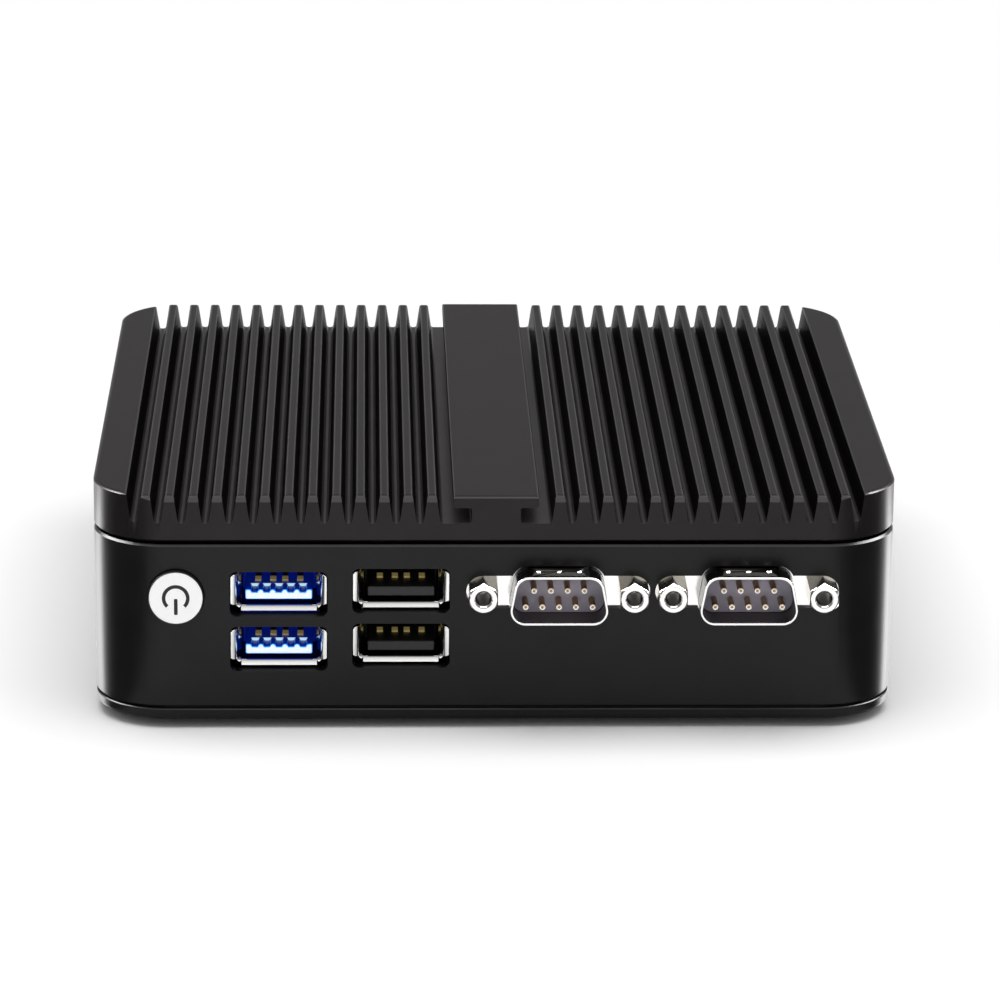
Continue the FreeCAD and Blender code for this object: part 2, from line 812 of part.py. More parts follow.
def housing_frame():
    walls = body("frame_walls")
    foot = drawing(walls, "XY_Plane", plate_top)
    loop(foot, box_corners(d.case_width - 2 * d.seam_depth, d.case_depth - 2 * d.seam_depth),
         d.corner_radius - d.seam_depth)
    pad(walls, foot, d.lower_seam_height)
    wall_under = plate_top + d.lower_seam_height
    outline = drawing(walls, "XY_Plane", wall_under)
    loop(outline, box_corners(d.case_width, d.case_depth), d.corner_radius)
    blank = pad(walls, outline, cover_under - wall_under)

    def on_rim(middle, edge):
        inside_x = abs(middle.x) < d.case_width.number / 2 - d.seam_depth.number * 0.7
        inside_y = abs(middle.y) < d.case_depth.number / 2 - d.seam_depth.number * 0.7
        corner = edge.Curve.TypeId == "Part::GeomCircle"
        full = corner and abs(edge.Curve.Radius - d.corner_radius.number) < 1e-4
        level = min(abs(middle.z - wall_under.number), abs(middle.z - cover_under.number))
        return level < 1e-4 and (full or (not corner and not (inside_x and inside_y)))

    dressed(walls, "Chamfer", blank, on_rim, d.seam_bevel)
    inside = drawing(walls, "XY_Plane", plate_top)
    loop(inside, box_corners(d.case_width - 2 * d.wall, d.case_depth - 2 * d.wall),
         d.corner_radius - d.wall)
    pocket(walls, inside, cover_under - plate_top, along_normal=True)
    posts = drawing(walls, "XY_Plane", plate_top)
    for side, end in CORNERS:
        loop(posts, [
            (side * (post_x - d.post_radius), end * post_y - d.post_radius),
            (side * (d.case_width / 2 - d.wall / 2), end * post_y - d.post_radius),
            (side * (d.case_width / 2 - d.wall / 2), end * post_y + d.post_radius),
            (side * (post_x - d.post_radius), end * post_y + d.post_radius),
        ], [d.post_radius * 0.98, 0, 0, d.post_radius * 0.98])
    pad(walls, posts, cover_under - plate_top)
    bores = drawing(walls, "XY_Plane", plate_top)
    for side, end in CORNERS:
        ring(bores, side * post_x, end * post_y, d.case_screw_radius + d.screw_clearance)
    pocket(walls, bores, cover_under - plate_top, along_normal=True)

    tools = []
    for name, x, drop, maker in (
        ("usb3_windows", d.usb3_x, d.usb3_drop, usb_opening),
        ("usb2_windows", d.usb2_x, d.usb2_drop, usb_opening),
        ("com1_windows", d.com1_x, d.dsub_drop, dsub_opening),
        ("com2_windows", d.com2_x, d.dsub_drop, dsub_opening),
    ):
        tool = maker(name)
        place(tool, x, front, board_under - drop)
        tools.append(tool)
    for name, x, drop, maker in (
        ("display_windows", d.display_x, d.dsub_drop, dsub_opening),
        ("lan1_window", d.lan1_x, d.lan_cavity_drop, lan_opening),
        ("lan2_window", d.lan2_x, d.lan_cavity_drop, lan_opening),
    ):
        tool = maker(name)
        place(tool, x, rear, board_under - drop, TURNED_TO_REAR)
        tools.append(tool)
    hdmi_window = prism("hdmi_window", "XZ_Plane", hdmi_corners(d.hdmi_sheet + d.port_gap),
                        d.port_gap, *through_wall)
    place(hdmi_window, d.hdmi_x, rear, board_under - d.hdmi_drop, TURNED_TO_REAR)
    tools.append(hdmi_window)
    button_z = board_under - d.button_drop
    drill_length = d.wall + 2 * d.tool_overrun
    tools.append(cylinder("button_hole", d.button_x, front - d.tool_overrun, button_z,
                          d.button_radius + d.button_clearance, drill_length, "rear"))
    tools.append(cylinder("button_seat", d.button_x, front + d.button_seat_wall, button_z,
                          d.button_flange_radius + d.port_gap, d.wall, "rear"))
    for name, x, z, radius in (
        ("inlet_hole", d.inlet_x, board_under - d.inlet_drop, d.inlet_nose_radius + d.port_gap),
        ("audio_hole", d.audio_x, board_under - d.audio_drop, d.audio_nose_radius + d.port_gap),
        ("antenna_hole_left", -d.antenna_x, plate_top + d.antenna_rise,
         d.antenna_neck + d.antenna_hole_gap),
        ("antenna_hole_right", d.antenna_x, plate_top + d.antenna_rise,
         d.antenna_neck + d.antenna_hole_gap),
    ):
        tools.append(cylinder(name, x, rear - d.wall - d.tool_overrun, z, radius, drill_length, "rear"))
    return part("housing_frame", cut("housing_frame", walls, tools))


# Bottom plate with closed bosses for the bracket screws, countersinks and rounded lower edge

drive_front = d.drive_y - d.drive_length / 2
drive_holes = [(side * d.drive_hole_spacing / 2, drive_front + y)
               for y in (d.drive_hole_first, d.drive_hole_second) for side in (-1, 1)]
case_holes = [(side * post_x, end * post_y) for side, end in CORNERS]


def bottom_plate():
    plate = body("plate_blank")
    outline = drawing(plate, "XY_Plane")
    loop(outline, box_corners(d.case_width, d.case_depth), d.corner_radius)
    blank = pad(plate, outline, d.plate_thickness)
    rounded = dressed(plate, "Fillet", blank, lambda middle, edge: abs(middle.z) < 1e-4, d.plate_round)
    top = plate_top.number
    dressed(plate, "Chamfer", rounded, lambda middle, edge: abs(middle.z - top) < 1e-4, d.edge_break / 2)
    half = d.bracket_spacing / 2
    bosses = drawing(plate, "XY_Plane")
    tapped = drawing(plate, "XY_Plane")
    for side, end in CORNERS:
        ring(bosses, side * half, end * half, d.bracket_boss_radius)
        ring(tapped, side * half, end * half, d.bracket_hole_radius)
    pad(plate, bosses, d.plate_thickness + d.bracket_boss_height)
    pocket(plate, tapped, d.bracket_hole_depth, along_normal=True)
    tools = []
    for kind, holes, head, shank in (
        ("case", case_holes, d.case_screw_head, d.case_screw_radius),
        ("drive", drive_holes, d.drive_screw_head, d.drive_screw_radius),
    ):
        for number, (x, y) in enumerate(holes):
            tools.append(cone(f"{kind}_sink_{number}", x, y, 0, head + d.screw_clearance / 2,
                              shank + d.screw_clearance / 2, d.countersink_height))
            tools.append(cylinder(f"{kind}_bore_{number}", x, y, 0, shank + d.screw_clearance / 2,
                                  d.plate_thickness))
    return part("bottom_plate", cut("bottom_plate", plate, tools))


# Screws

def countersunk_screw(name, x, y, head, shank, length):
    """Flat-headed screw with a hexagon socket, head down at the underside of the plate."""
    head_cone = cone(name + "_head", 0, 0, 0, head, shank, d.countersink_height)
    stem = cylinder(name + "_stem", 0, 0, 0, shank, length)
    socket = hexagon(name + "_socket", 0, 0, 0, 2 * d.socket_radius, d.socket_depth)
    made = cut(name, fused(name + "_blank", [head_cone, stem]), [socket])
    place(made, x, y, 0)
    return made


def board_screw(name, x, y):
    """Pan-headed screw that holds the board up against a standoff."""
    head_under = board_under - d.board_screw_head_height
    head = cylinder(name + "_head", 0, 0, 0, d.board_screw_head, d.board_screw_head_height)
    stem_length = d.board_screw_head_height + d.board_thickness + d.board_screw_bite * 0.95
    stem = cylinder(name + "_stem", 0, 0, 0, d.board_screw_radius, stem_length)
    socket = hexagon(name + "_socket", 0, 0, 0, 2 * d.socket_radius, d.socket_depth)
    made = cut(name, fused(name + "_blank", [head, stem]), [socket])
    place(made, x, y, head_under)
    return made


def screws():
    length = cover_under + d.case_screw_bite * 0.95
    case = [countersunk_screw(f"case_screw_{number}", x, y, d.case_screw_head, d.case_screw_radius, length)
            for number, (x, y) in enumerate(case_holes)]
    part("case_screws", grouped("case_screws", case))
    drive_length = plate_top + d.drive_screw_bite * 0.95
    drive = [countersunk_screw(f"drive_screw_{number}", x, y, d.drive_screw_head,
                               d.drive_screw_radius, drive_length)
             for number, (x, y) in enumerate(drive_holes)]
    part("drive_screws", grouped("drive_screws", drive))
    board = [board_screw(f"board_screw_{number}", side * d.standoff_x, end * d.standoff_y)
             for number, (side, end) in enumerate(CORNERS)]
    part("board_screws", grouped("board_screws", board))


# Rubber feet

def foot(name, side, end):
    made = body(name)
    disc = drawing(made, "XY_Plane")
    ring(disc, 0, 0, d.foot_radius)
    blank = pad(made, disc, d.foot_height)
    dressed(made, "Chamfer", blank, lambda middle, edge: abs(middle.z) < 1e-4, d.foot_chamfer)
    place(made, side * (d.case_width / 2 - d.foot_inset_side), end * (d.case_depth / 2 - d.foot_inset_end),
          -d.foot_height)
    return part(name, made)


# Board and the pieces soldered to or plugged into it

def motherboard():
    board = body("motherboard")
    slack = d.wall + d.board_gap
    outline = drawing(board, "XY_Plane", board_under)
    loop(outline, box_corners(d.case_width - 2 * slack, d.case_depth - 2 * slack), d.corner_radius - slack)
    pad(board, outline, d.board_thickness)
    holes = drawing(board, "XY_Plane", board_under)
    for side, end in CORNERS:
        ring(holes, side * d.standoff_x, end * d.standoff_y, d.board_screw_radius + d.screw_clearance)
    pocket(board, holes, d.board_thickness, along_normal=True)
    notches = drawing(board, "XY_Plane", board_under)
    reach = d.post_radius + d.board_gap
    for side, end in CORNERS:
        loop(notches, [
            (side * (post_x - reach), end * (post_y - reach)),
            (side * d.case_width / 2, end * (post_y - reach)),
            (side * d.case_width / 2, end * (post_y + reach)),
            (side * (post_x - reach), end * (post_y + reach)),
        ], [d.post_radius, 0, 0, d.post_radius])
    pocket(board, notches, d.board_thickness, along_normal=True)
    return part("motherboard", board)


def processor():
    base = block("processor_base", (-d.processor_width / 2, d.processor_width / 2),
                 (d.processor_y - d.processor_depth / 2, d.processor_y + d.processor_depth / 2),
                 (board_top, board_top + d.processor_base))
    die_top = cover_under - d.thermal_pad
    die_y = (d.processor_y - d.die_depth / 2, d.processor_y + d.die_depth / 2)
    die_x = (-d.die_width / 2, d.die_width / 2)
    die = block("processor_die", die_x, die_y, (board_top, die_top))
    part("cpu_package", fused("cpu_package", [base, die]))
    part("cpu_thermal_pad", block("cpu_thermal_pad", die_x, die_y, (die_top, cover_under)))


def memory():
    low = board_under - d.memory_drop - d.memory_thickness
    half = d.memory_width / 2
    seat = d.memory_front + d.memory_socket_depth
    card_front = seat - d.memory_insertion
    card = block("memory_card", (-half, half), (card_front, card_front + d.memory_depth),
                 (low, low + d.memory_thickness))
    chip_front = seat + d.memory_chip_setback
    count = DIMENSIONS["memory_chip_count"]
    chips = []
    for number in range(count):
        centre = (number - (count - 1) / 2) * d.memory_chip_pitch
        across = (centre - d.memory_chip_width / 2, centre + d.memory_chip_width / 2)
        chips.append(block(f"memory_chip_{number}", across, (chip_front, chip_front + d.memory_chip_depth),
                           (low - d.memory_chip_height, low)))
    part("memory_module", fused("memory_module", [card] + chips))
    inner = half + d.card_slack
    outer = inner + d.memory_arm_width
    bar = block("memory_bar", (-outer, outer), (d.memory_front, seat),
                (board_under - d.memory_socket_height, board_under))
    arms = [block(f"memory_arm_{name}", across, (seat, seat + d.memory_arm_length), (low, board_under))
            for name, across in (("left", (-outer, -inner)), ("right", (inner, outer)))]
    slot = block("memory_slot", (-inner, inner), (card_front - d.card_slack, seat + d.tool_overrun),
                 (low - d.card_slack, low + d.memory_thickness + d.card_slack))
    part("memory_socket", cut("memory_socket", fused("memory_socket_blank", [bar] + arms), [slot]))


def wireless():
    low = board_under - d.wireless_drop - d.wireless_thickness
    high = low + d.wireless_thickness
    across = (d.wireless_x - d.wireless_width / 2, d.wireless_x + d.wireless_width / 2)
    seat = d.wireless_front + d.wireless_socket_depth
    card_front = seat - d.wireless_insertion
    card_rear = card_front + d.wireless_depth
    card = block("wireless_board", across, (card_front, card_rear), (low, high))
    inset = d.wireless_shield_inset
    shield = block("wireless_shield", (across[0] + inset, across[1] - inset),
                   (seat + inset, seat + inset + d.wireless_shield_depth),
                   (low - d.wireless_shield_height, low))
    post = cylinder("wireless_post", d.wireless_x, card_rear - d.wireless_post_inset, high,
                    d.wireless_post_radius, board_under - high)
    part("wifi_card", fused("wifi_card", [card, shield, post]))
    bar = block("wireless_bar", across, (d.wireless_front, seat),
                (board_under - d.wireless_socket_height, board_under))
    slot = block("wireless_slot", (across[0] - d.card_slack, across[1] + d.card_slack),
                 (card_front - d.card_slack, seat + d.tool_overrun),
                 (low - d.card_slack, high + d.card_slack))
    part("wifi_socket", cut("wifi_socket", bar, [slot]))


def clock_battery():
    roof = board_under - d.battery_holder_floor
    low = roof - d.battery_height
    rim = low + d.battery_height / 4
    bowl_radius = d.battery_radius + d.battery_slack
    part("coin_cell", cylinder("coin_cell", d.battery_x, d.battery_y, low, d.battery_radius,
                               d.battery_height))
    holder = cylinder("holder_blank", d.battery_x, d.battery_y, rim, bowl_radius + d.battery_holder_wall,
                      board_under - rim)
    bowl = cylinder("holder_bowl", d.battery_x, d.battery_y, low, bowl_radius, d.battery_height)
    part("coin_cell_holder", cut("coin_cell_holder", holder, [bowl]))


# Drive on the bottom plate, and the lead from its socket up to the board

def drive():
    half = d.drive_width / 2
    drive_rear = drive_front + d.drive_length
    shell = prism("drive_shell", "XY_Plane", box_corners(d.drive_width, d.drive_length, 0, d.drive_y),
                  d.drive_corner, plate_top, drive_top)
    holes = [cylinder(f"drive_hole_{number}", x, y, plate_top - d.tool_overrun, d.drive_screw_radius,
                      d.drive_screw_bite + d.tool_overrun) for number, (x, y) in enumerate(drive_holes)]
    inset = d.drive_panel_inset
    panel = block("drive_panel", (inset - half, half - inset), (drive_front + inset, drive_rear - 2 * inset),
                  (drive_top - d.drive_panel_depth, drive_top + d.tool_overrun))
    part("sata_drive", cut("sata_drive", shell, holes + [panel]))

    plug_top = drive_top - d.lead_plug_margin
    plug = block("lead_plug", (-d.lead_plug_width / 2, d.lead_plug_width / 2),
                 (drive_rear, drive_rear + d.lead_plug_depth), (plate_top + d.lead_plug_margin, plug_top))
    start = drive_rear + d.lead_plug_depth / 2
    level = plug_top + d.lead_rise
    header_under = board_under - d.lead_header_height
    skin = d.lead_thickness / 2
    stop = d.lead_header_y
    lowest = plug_top - d.lead_embedding
    highest = header_under + d.lead_embedding
    inner, outer = d.lead_bend, d.lead_bend + d.lead_thickness
    ribbon = prism("lead_ribbon", "YZ_Plane", [
        (start - skin, lowest),
        (start + skin, lowest),
        (start + skin, level + skin),
        (stop + skin, level + skin),
        (stop + skin, highest),
        (stop - skin, highest),
        (stop - skin, level - skin),
        (start - skin, level - skin),
    ], [0, 0, outer, inner, 0, 0, outer, inner], -d.lead_width / 2, d.lead_width / 2)
    header = block("lead_header", (-d.lead_header_width / 2, d.lead_header_width / 2),
                   (stop - d.lead_header_depth / 2, stop + d.lead_header_depth / 2),
                   (header_under, board_under))
    part("sata_lead", fused("sata_lead", [plug, ribbon, header]))


# Power button and the switch behind it

def power_button():
    z = board_under - d.button_drop
    seat = front + d.button_seat_wall + d.button_play
    cap_front = front - d.button_proud
    cap_rear = seat + d.button_flange_depth
    barrel = cylinder("cap_barrel", 0, cap_front - front, 0, d.button_radius, cap_rear - cap_front, "rear")
    flange = cylinder("cap_flange", 0, seat - front, 0, d.button_flange_radius,
                      d.button_flange_depth, "rear")
    dish = cylinder("cap_dish", 0, cap_front - front - d.tool_overrun, 0, d.button_face_radius,
                    d.button_face_depth + d.tool_overrun, "rear")
    cap = cut("power_button_cap", fused("cap_blank", [barrel, flange]), [dish])
    place(cap, d.button_x, front, z)
    part("power_button_cap", cap)
    part("power_button_face", cylinder("power_button_face", d.button_x, cap_front, z,
                                       d.button_face_radius, d.button_face_depth, "rear"))
    plunger_rear = cap_rear + d.plunger_length
    part("power_switch_plunger", cylinder("power_switch_plunger", d.button_x, cap_rear, z,
                                          d.plunger_radius, d.plunger_length, "rear"))
    switch_front = plunger_rear - d.plunger_insertion
    half = d.switch_width / 2
    case = block("switch_case", (d.button_x - half, d.button_x + half),
                 (switch_front, switch_front + d.switch_depth),
                 (board_under - d.switch_height, board_under))
    cup_front = front + d.wall
    cup_floor = cap_rear + d.button_travel + d.button_play
    cup_hollow = d.button_flange_radius + d.port_gap
    cup = cylinder("switch_cup", d.button_x, cup_front, z, cup_hollow + d.switch_cup_wall,
                   switch_front - cup_front, "rear")
    inner_width = d.case_width - 2 * (d.wall + d.fit_gap)
    inner_depth = d.case_depth - 2 * (d.wall + d.fit_gap)
    room = prism("switch_room", "XY_Plane", box_corners(inner_width, inner_depth),
                 d.corner_radius - d.wall - d.fit_gap, plate_top, board_under)
    hollow = cylinder("switch_cup_hollow", d.button_x, front, z, cup_hollow, cup_floor - front, "rear")
    bore_depth = d.plunger_insertion + d.button_travel + d.plunger_clearance
    bore = cylinder("switch_bore", d.button_x, front, z, d.plunger_radius + d.plunger_clearance,
                    switch_front + bore_depth - front, "rear")
    housed = shared("switch_blank", [fused("switch_shape", [case, cup]), room])
    part("power_switch_body", cut("power_switch_body", housed, [hollow, bore]))


# Stacked USB ports, built about the centre of the upper port on the outer face of the wall

LEVELS = (("upper", 0 * d.usb_pitch), ("lower", -d.usb_pitch))


def usb_shell(kind, drop):
    """Folded steel can over both ports, with two necks through the wall that flare at their mouths."""
    mouth = -d.usb_proud
    throat = mouth + d.usb_lip_depth
    can_front = d.wall + d.usb_can_gap
    back = mouth + d.usb_depth
    block_front = back - d.usb_block_depth
    metal = d.usb_sheet
    outer_width = d.usb_inner_width + 2 * metal
    inner_round = d.usb_round / 2
    can_low = -d.usb_pitch - usb_outer_height / 2
    solids = [prism(f"{kind}_can", "XZ_Plane",
                    [(-outer_width / 2, can_low), (outer_width / 2, can_low),
                     (outer_width / 2, drop), (-outer_width / 2, drop)],
                    [d.usb_can_round, d.usb_can_round, 0, 0], can_front, back)]
    hollows = []
    for level, z in LEVELS:
        lip = box_corners(d.usb_lip_width, d.usb_lip_height, 0, z)
        neck = box_corners(outer_width, usb_outer_height, 0, z)
        lip_hole = box_corners(d.usb_lip_width - 2 * metal, d.usb_lip_height - 2 * metal, 0, z)
        neck_hole = box_corners(d.usb_inner_width, d.usb_inner_height, 0, z)
        solids.append(funnel(f"{kind}_{level}_flare", lip, d.usb_round, neck, inner_round + metal,
                             mouth, throat))
        solids.append(prism(f"{kind}_{level}_neck", "XZ_Plane", neck, inner_round + metal,
                            throat, can_front + metal))
        hollows.append(funnel(f"{kind}_{level}_mouth", lip_hole, d.usb_round - metal, neck_hole,
                              inner_round, mouth, throat))
        hollows.append(prism(f"{kind}_{level}_cavity", "XZ_Plane", neck_hole, inner_round,
                             throat, block_front))
    inner = (-d.usb_inner_width / 2, d.usb_inner_width / 2)
    hollows.append(block(f"{kind}_rear_room", inner, (block_front, back + d.tool_overrun),
                         (can_low + metal, drop - metal)))
    hollows.append(block(f"{kind}_middle_room", inner, (can_front + metal, block_front),
                         (-d.usb_pitch + usb_outer_height / 2, -usb_outer_height / 2)))
    return cut(f"{kind}_shell", fused(f"{kind}_shell_blank", solids), hollows)


def usb_notches(kind, level, top, tongue_front):
    """Tapered slots that run back from the front edge of a tongue's upper face."""
    floor = top - d.usb_notch_depth
    above = top + d.fit_gap
    half = d.usb_notch_width / 2
    made = []
    count = DIMENSIONS["usb_notch_count"]
    for number in range(count):
        centre = (number - (count - 1) / 2) * d.usb_notch_pitch
        outline = [(centre - half * 0.7, floor), (centre + half * 0.7, floor),
                   (centre + half, above), (centre - half, above)]
        made.append(prism(f"{kind}_{level}_notch_{number}", "XZ_Plane", outline, 0,
                          tongue_front - d.tool_overrun, tongue_front + d.usb_notch_length))
    return made


def usb_stack(kind, x, drop, notched):
    """One stacked pair: shell, moulded block with two tongues, and eight spring contacts."""
    back = d.usb_depth - d.usb_proud
    block_front = back - d.usb_block_depth
    tongue_front = d.usb_tongue_setback - d.usb_proud
    margin = d.usb_sheet + d.fit_gap
    half_block = d.usb_inner_width / 2 - d.fit_gap
    can_low = -d.usb_pitch - usb_outer_height / 2
    mouldings = [block(f"{kind}_block", (-half_block, half_block), (block_front, back),
                       (can_low + margin, drop - margin))]
    notches, contacts = [], []
    for level, z in LEVELS:
        top = z + d.usb_tongue_top
        mouldings.append(block(f"{kind}_{level}_tongue", (-d.usb_tongue_width / 2, d.usb_tongue_width / 2),
                               (tongue_front, block_front), (top - d.usb_tongue_thickness, top)))
        if notched:
            notches += usb_notches(kind, level, top, tongue_front)
        for number, centre in enumerate((-d.usb_contact_outer, -d.usb_contact_inner,
                                         d.usb_contact_inner, d.usb_contact_outer)):
            half = d.usb_contact_width / 2
            contacts.append(block(f"{kind}_{level}_contact_{number}", (centre - half, centre + half),
                                  (tongue_front + d.usb_contact_start, block_front),
                                  (top, top + d.usb_contact_thickness)))
    insulator = fused(f"{kind}_insulator", mouldings)
    if notches:
        insulator = cut(f"{kind}_insulator_notched", insulator, notches)
    for role, made in (("shell", usb_shell(kind, drop)), ("insulator", insulator),
                       ("contacts", grouped(f"{kind}_contacts", contacts))):
        place(made, x, front, board_under - drop)
        part(f"{kind}_{role}", made)


# D-shaped ports, built about their centre on the outer face of the wall

def jackscrews(name):
    """Pair of hexagonal jackscrews with tapped fronts and threaded shanks through the flange."""
    made = []
    length = d.jackscrew_length
    spread = length * math.tan(math.radians(DIMENSIONS["jackscrew_crown_angle"]))
    for number, side in enumerate((-1, 1)):
        x = side * d.dsub_screw_spacing / 2
        tip = d.dsub_lip - length
        bar = hexagon(f"{name}_bar_{number}", x, tip, 0, d.jackscrew_flats, length, "rear_point_up")
        crown = cone(f"{name}_crown_{number}", x, tip, 0, d.jackscrew_crown / 2,
                     d.jackscrew_crown / 2 + spread, length, "rear")
        bevelled = doc.addObject("Part::Common", f"{name}_bevelled_{number}")
        bevelled.Base = bar
        bevelled.Tool = crown
        shank = cylinder(f"{name}_shank_{number}", x, d.dsub_lip - d.jackscrew_overlap, 0,
                         d.jackscrew_shank, d.jackscrew_shank_length + d.jackscrew_overlap, "rear")
        bore = cylinder(f"{name}_bore_{number}", x, tip, 0, d.jackscrew_bore, d.jackscrew_bore_depth, "rear")
        mouth = cone(f"{name}_mouth_{number}", x, tip, 0, d.jackscrew_bore + d.jackscrew_mouth,
                     d.jackscrew_bore, d.jackscrew_mouth, "rear")
        blank = fused(f"{name}_blank_{number}", [bevelled, shank])
        made.append(cut(f"{name}_{number}", blank, [bore, mouth]))
    return grouped(name, made)


def dsub_shell(name):
    """Pressed steel flange with the D-shaped shell drawn out of it."""
    rim = d.dsub_lip - d.dsub_reach
    flange_back = d.dsub_lip + d.dsub_flange_sheet
    flange = prism(f"{name}_flange", "XZ_Plane", box_corners(d.dsub_flange_width, d.dsub_flange_height),
                   d.dsub_flange_round, d.dsub_lip, flange_back)
    collar = prism(f"{name}_collar", "XZ_Plane", dsub_corners(0), d.dsub_round, rim, flange_back)
    inside = prism(f"{name}_inside", "XZ_Plane", dsub_corners(-d.dsub_sheet), d.dsub_round - d.dsub_sheet,
                   rim - d.tool_overrun, flange_back + d.tool_overrun)
    holes = [cylinder(f"{name}_hole_{number}", side * d.dsub_screw_spacing / 2, d.dsub_lip - d.tool_overrun,
                      0, d.dsub_screw_hole, d.dsub_flange_sheet + 2 * d.tool_overrun, "rear")
             for number, side in enumerate((-1, 1))]
    return cut(name, fused(f"{name}_blank", [flange, collar]), [inside] + holes)


def dsub_insulator(name, face, holes):
    """Moulded block: the D that fills the shell from its face back, and the foot under the board."""
    flange_back = d.dsub_lip + d.dsub_flange_sheet
    fill = prism(f"{name}_fill", "XZ_Plane", dsub_corners(-d.dsub_sheet - d.fit_gap),
                 d.dsub_round - d.dsub_sheet, face, flange_back)
    half = d.dsub_body_width / 2
    foot_block = block(f"{name}_foot", (-half, half), (flange_back, flange_back + d.dsub_body_depth),
                       (-d.dsub_height / 2, d.dsub_drop))
    return cut(name, fused(f"{name}_blank", [fill, foot_block]), holes)


def serial_pins(name, face):
    """Nine turned pins, five below and four above, and the holes that hold their roots."""
    pins, holes = [], []
    tip = face - d.dsub_pin_length
    root = face + d.dsub_pin_root
    for row, count, level in (("lower", 5, -0.5), ("upper", 4, 0.5)):
        for number in range(count):
            x = (number - (count - 1) / 2) * d.dsub_pin_pitch
            z = level * d.dsub_row_spacing
            pins.append(cylinder(f"{name}_{row}_pin_{number}", x, tip, z, d.dsub_pin_radius,
                                 root - tip, "rear"))
            holes.append(cylinder(f"{name}_{row}_hole_{number}", x, face, z, d.dsub_pin_radius,
                                  d.dsub_pin_root, "rear"))
    return grouped(name, pins), holes


def display_holes(name, face):
    """Three rows of five holes, the middle row shifted by half a step."""
    holes = []
    for row, shift in ((-1, -0.25), (0, 0.25), (1, -0.25)):
        for number in range(5):
            x = (number - 2 + shift) * d.display_hole_pitch
            holes.append(cylinder(f"{name}_hole_{row + 1}_{number}", x, face, row * d.display_row_spacing,
                                  d.display_hole_radius, d.display_hole_depth, "rear"))
    return holes


def dsub_port(name, kind, x, y, turn):
    """One complete D port: serial with pins, or display with rows of holes."""
    pieces = {"shell": dsub_shell(f"{name}_shell"), "jackscrews": jackscrews(f"{name}_jackscrews")}
    if kind == "serial":
        face = d.dsub_face
        pieces["pins"], holes = serial_pins(f"{name}_pins", face)
    else:
        face = d.dsub_lip - d.dsub_reach + d.display_face_setback
        holes = display_holes(name, face)
    pieces["insulator"] = dsub_insulator(f"{name}_insulator", face, holes)
    for role, made in pieces.items():
        place(made, x, y, board_under - d.dsub_drop, turn)
        part(f"{name}_{role}", made)


# Rear ports

def hdmi_port():
    tube = prism("hdmi_tube", "XZ_Plane", hdmi_corners(d.hdmi_sheet), d.hdmi_sheet, 0, d.hdmi_depth)
    cavity_back = d.hdmi_depth - d.hdmi_back_wall
    inside = prism("hdmi_inside", "XZ_Plane", hdmi_corners(0), d.hdmi_sheet / 2,
                   -d.tool_overrun, cavity_back)
    half_leg = d.hdmi_leg_width / 2
    legs = [block(f"hdmi_leg_{number}", (side * d.hdmi_leg_x - half_leg, side * d.hdmi_leg_x + half_leg),
                  (d.hdmi_leg_start, d.hdmi_leg_start + d.hdmi_leg_depth), (d.hdmi_height / 2, d.hdmi_drop))
            for number, side in enumerate((-1, 1))]
    shell = cut("hdmi_shell", fused("hdmi_shell_blank", [tube] + legs), [inside])
    tongue = prism("hdmi_insulator", "XZ_Plane",
                   box_corners(d.hdmi_tongue_width, d.hdmi_tongue_thickness), 0,
                   d.hdmi_tongue_setback, cavity_back)
    for name, made in (("hdmi_shell", shell), ("hdmi_insulator", tongue)):
        place(made, d.hdmi_x, rear, board_under - d.hdmi_drop, TURNED_TO_REAR)
        part(name, made)


def lan_outline():
    """Mouth of a network jack, with the notch for the plug's latch at the bottom."""
    half = d.lan_cavity_width / 2
    high = d.lan_cavity_height / 2
    latch = d.lan_latch_width / 2
    latch_low = -high - d.lan_latch_height
    return [(-half, high), (-half, -high), (-latch, -high), (-latch, latch_low),
            (latch, latch_low), (latch, -high), (half, -high), (half, high)]


def lan_jack(name, x):
    """Shielded network jack: steel can around a moulded core."""
    top = d.lan_cavity_drop
    low = top - d.lan_height
    half = d.lan_width / 2
    mouth = -d.lan_proud
    back = mouth + d.lan_depth
    core_front = mouth + d.lan_sheet
    can = prism(f"{name}_can", "XZ_Plane", [(-half, low), (half, low), (half, top), (-half, top)],
                d.lan_round, mouth, back)
    room = block(f"{name}_room", (d.lan_sheet - half, half - d.lan_sheet),
                 (core_front, back + d.tool_overrun), (low + d.lan_sheet, top - d.lan_sheet))
    face_hole = prism(f"{name}_face_hole", "XZ_Plane", lan_outline(), 0, mouth - d.tool_overrun,
                      core_front)
    margin = d.lan_sheet + d.fit_gap
    core = block(f"{name}_core", (margin - half, half - margin), (core_front, back),
                 (low + margin, top - margin))
    cavity = prism(f"{name}_cavity", "XZ_Plane", lan_outline(), 0, mouth, d.lan_cavity_depth)
    for role, made in (("shell", cut(f"{name}_shell", can, [room, face_hole])),
                       ("insulator", cut(f"{name}_insulator", core, [cavity]))):
        place(made, x, rear, board_under - d.lan_cavity_drop, TURNED_TO_REAR)
        part(f"{name}_{role}", made)


def barrel_jack(name, x, drop, nose, bore, bore_depth, width, depth):
    """Moulded jack: a block under the board with a round nose that fills the wall's hole."""
    half = width / 2
    case_front = d.wall + d.barrel_case_gap
    nose_piece = cylinder(f"{name}_nose", 0, 0, 0, nose, case_front, "rear")
    case = block(f"{name}_case", (-half, half), (case_front, case_front + depth), (-half, drop))
    hollow = cylinder(f"{name}_hollow", 0, 0, 0, bore, bore_depth, "rear")
    made = cut(name, fused(f"{name}_blank", [nose_piece, case]), [hollow])
    place(made, x, rear, board_under - drop, TURNED_TO_REAR)
    return part(name, made)


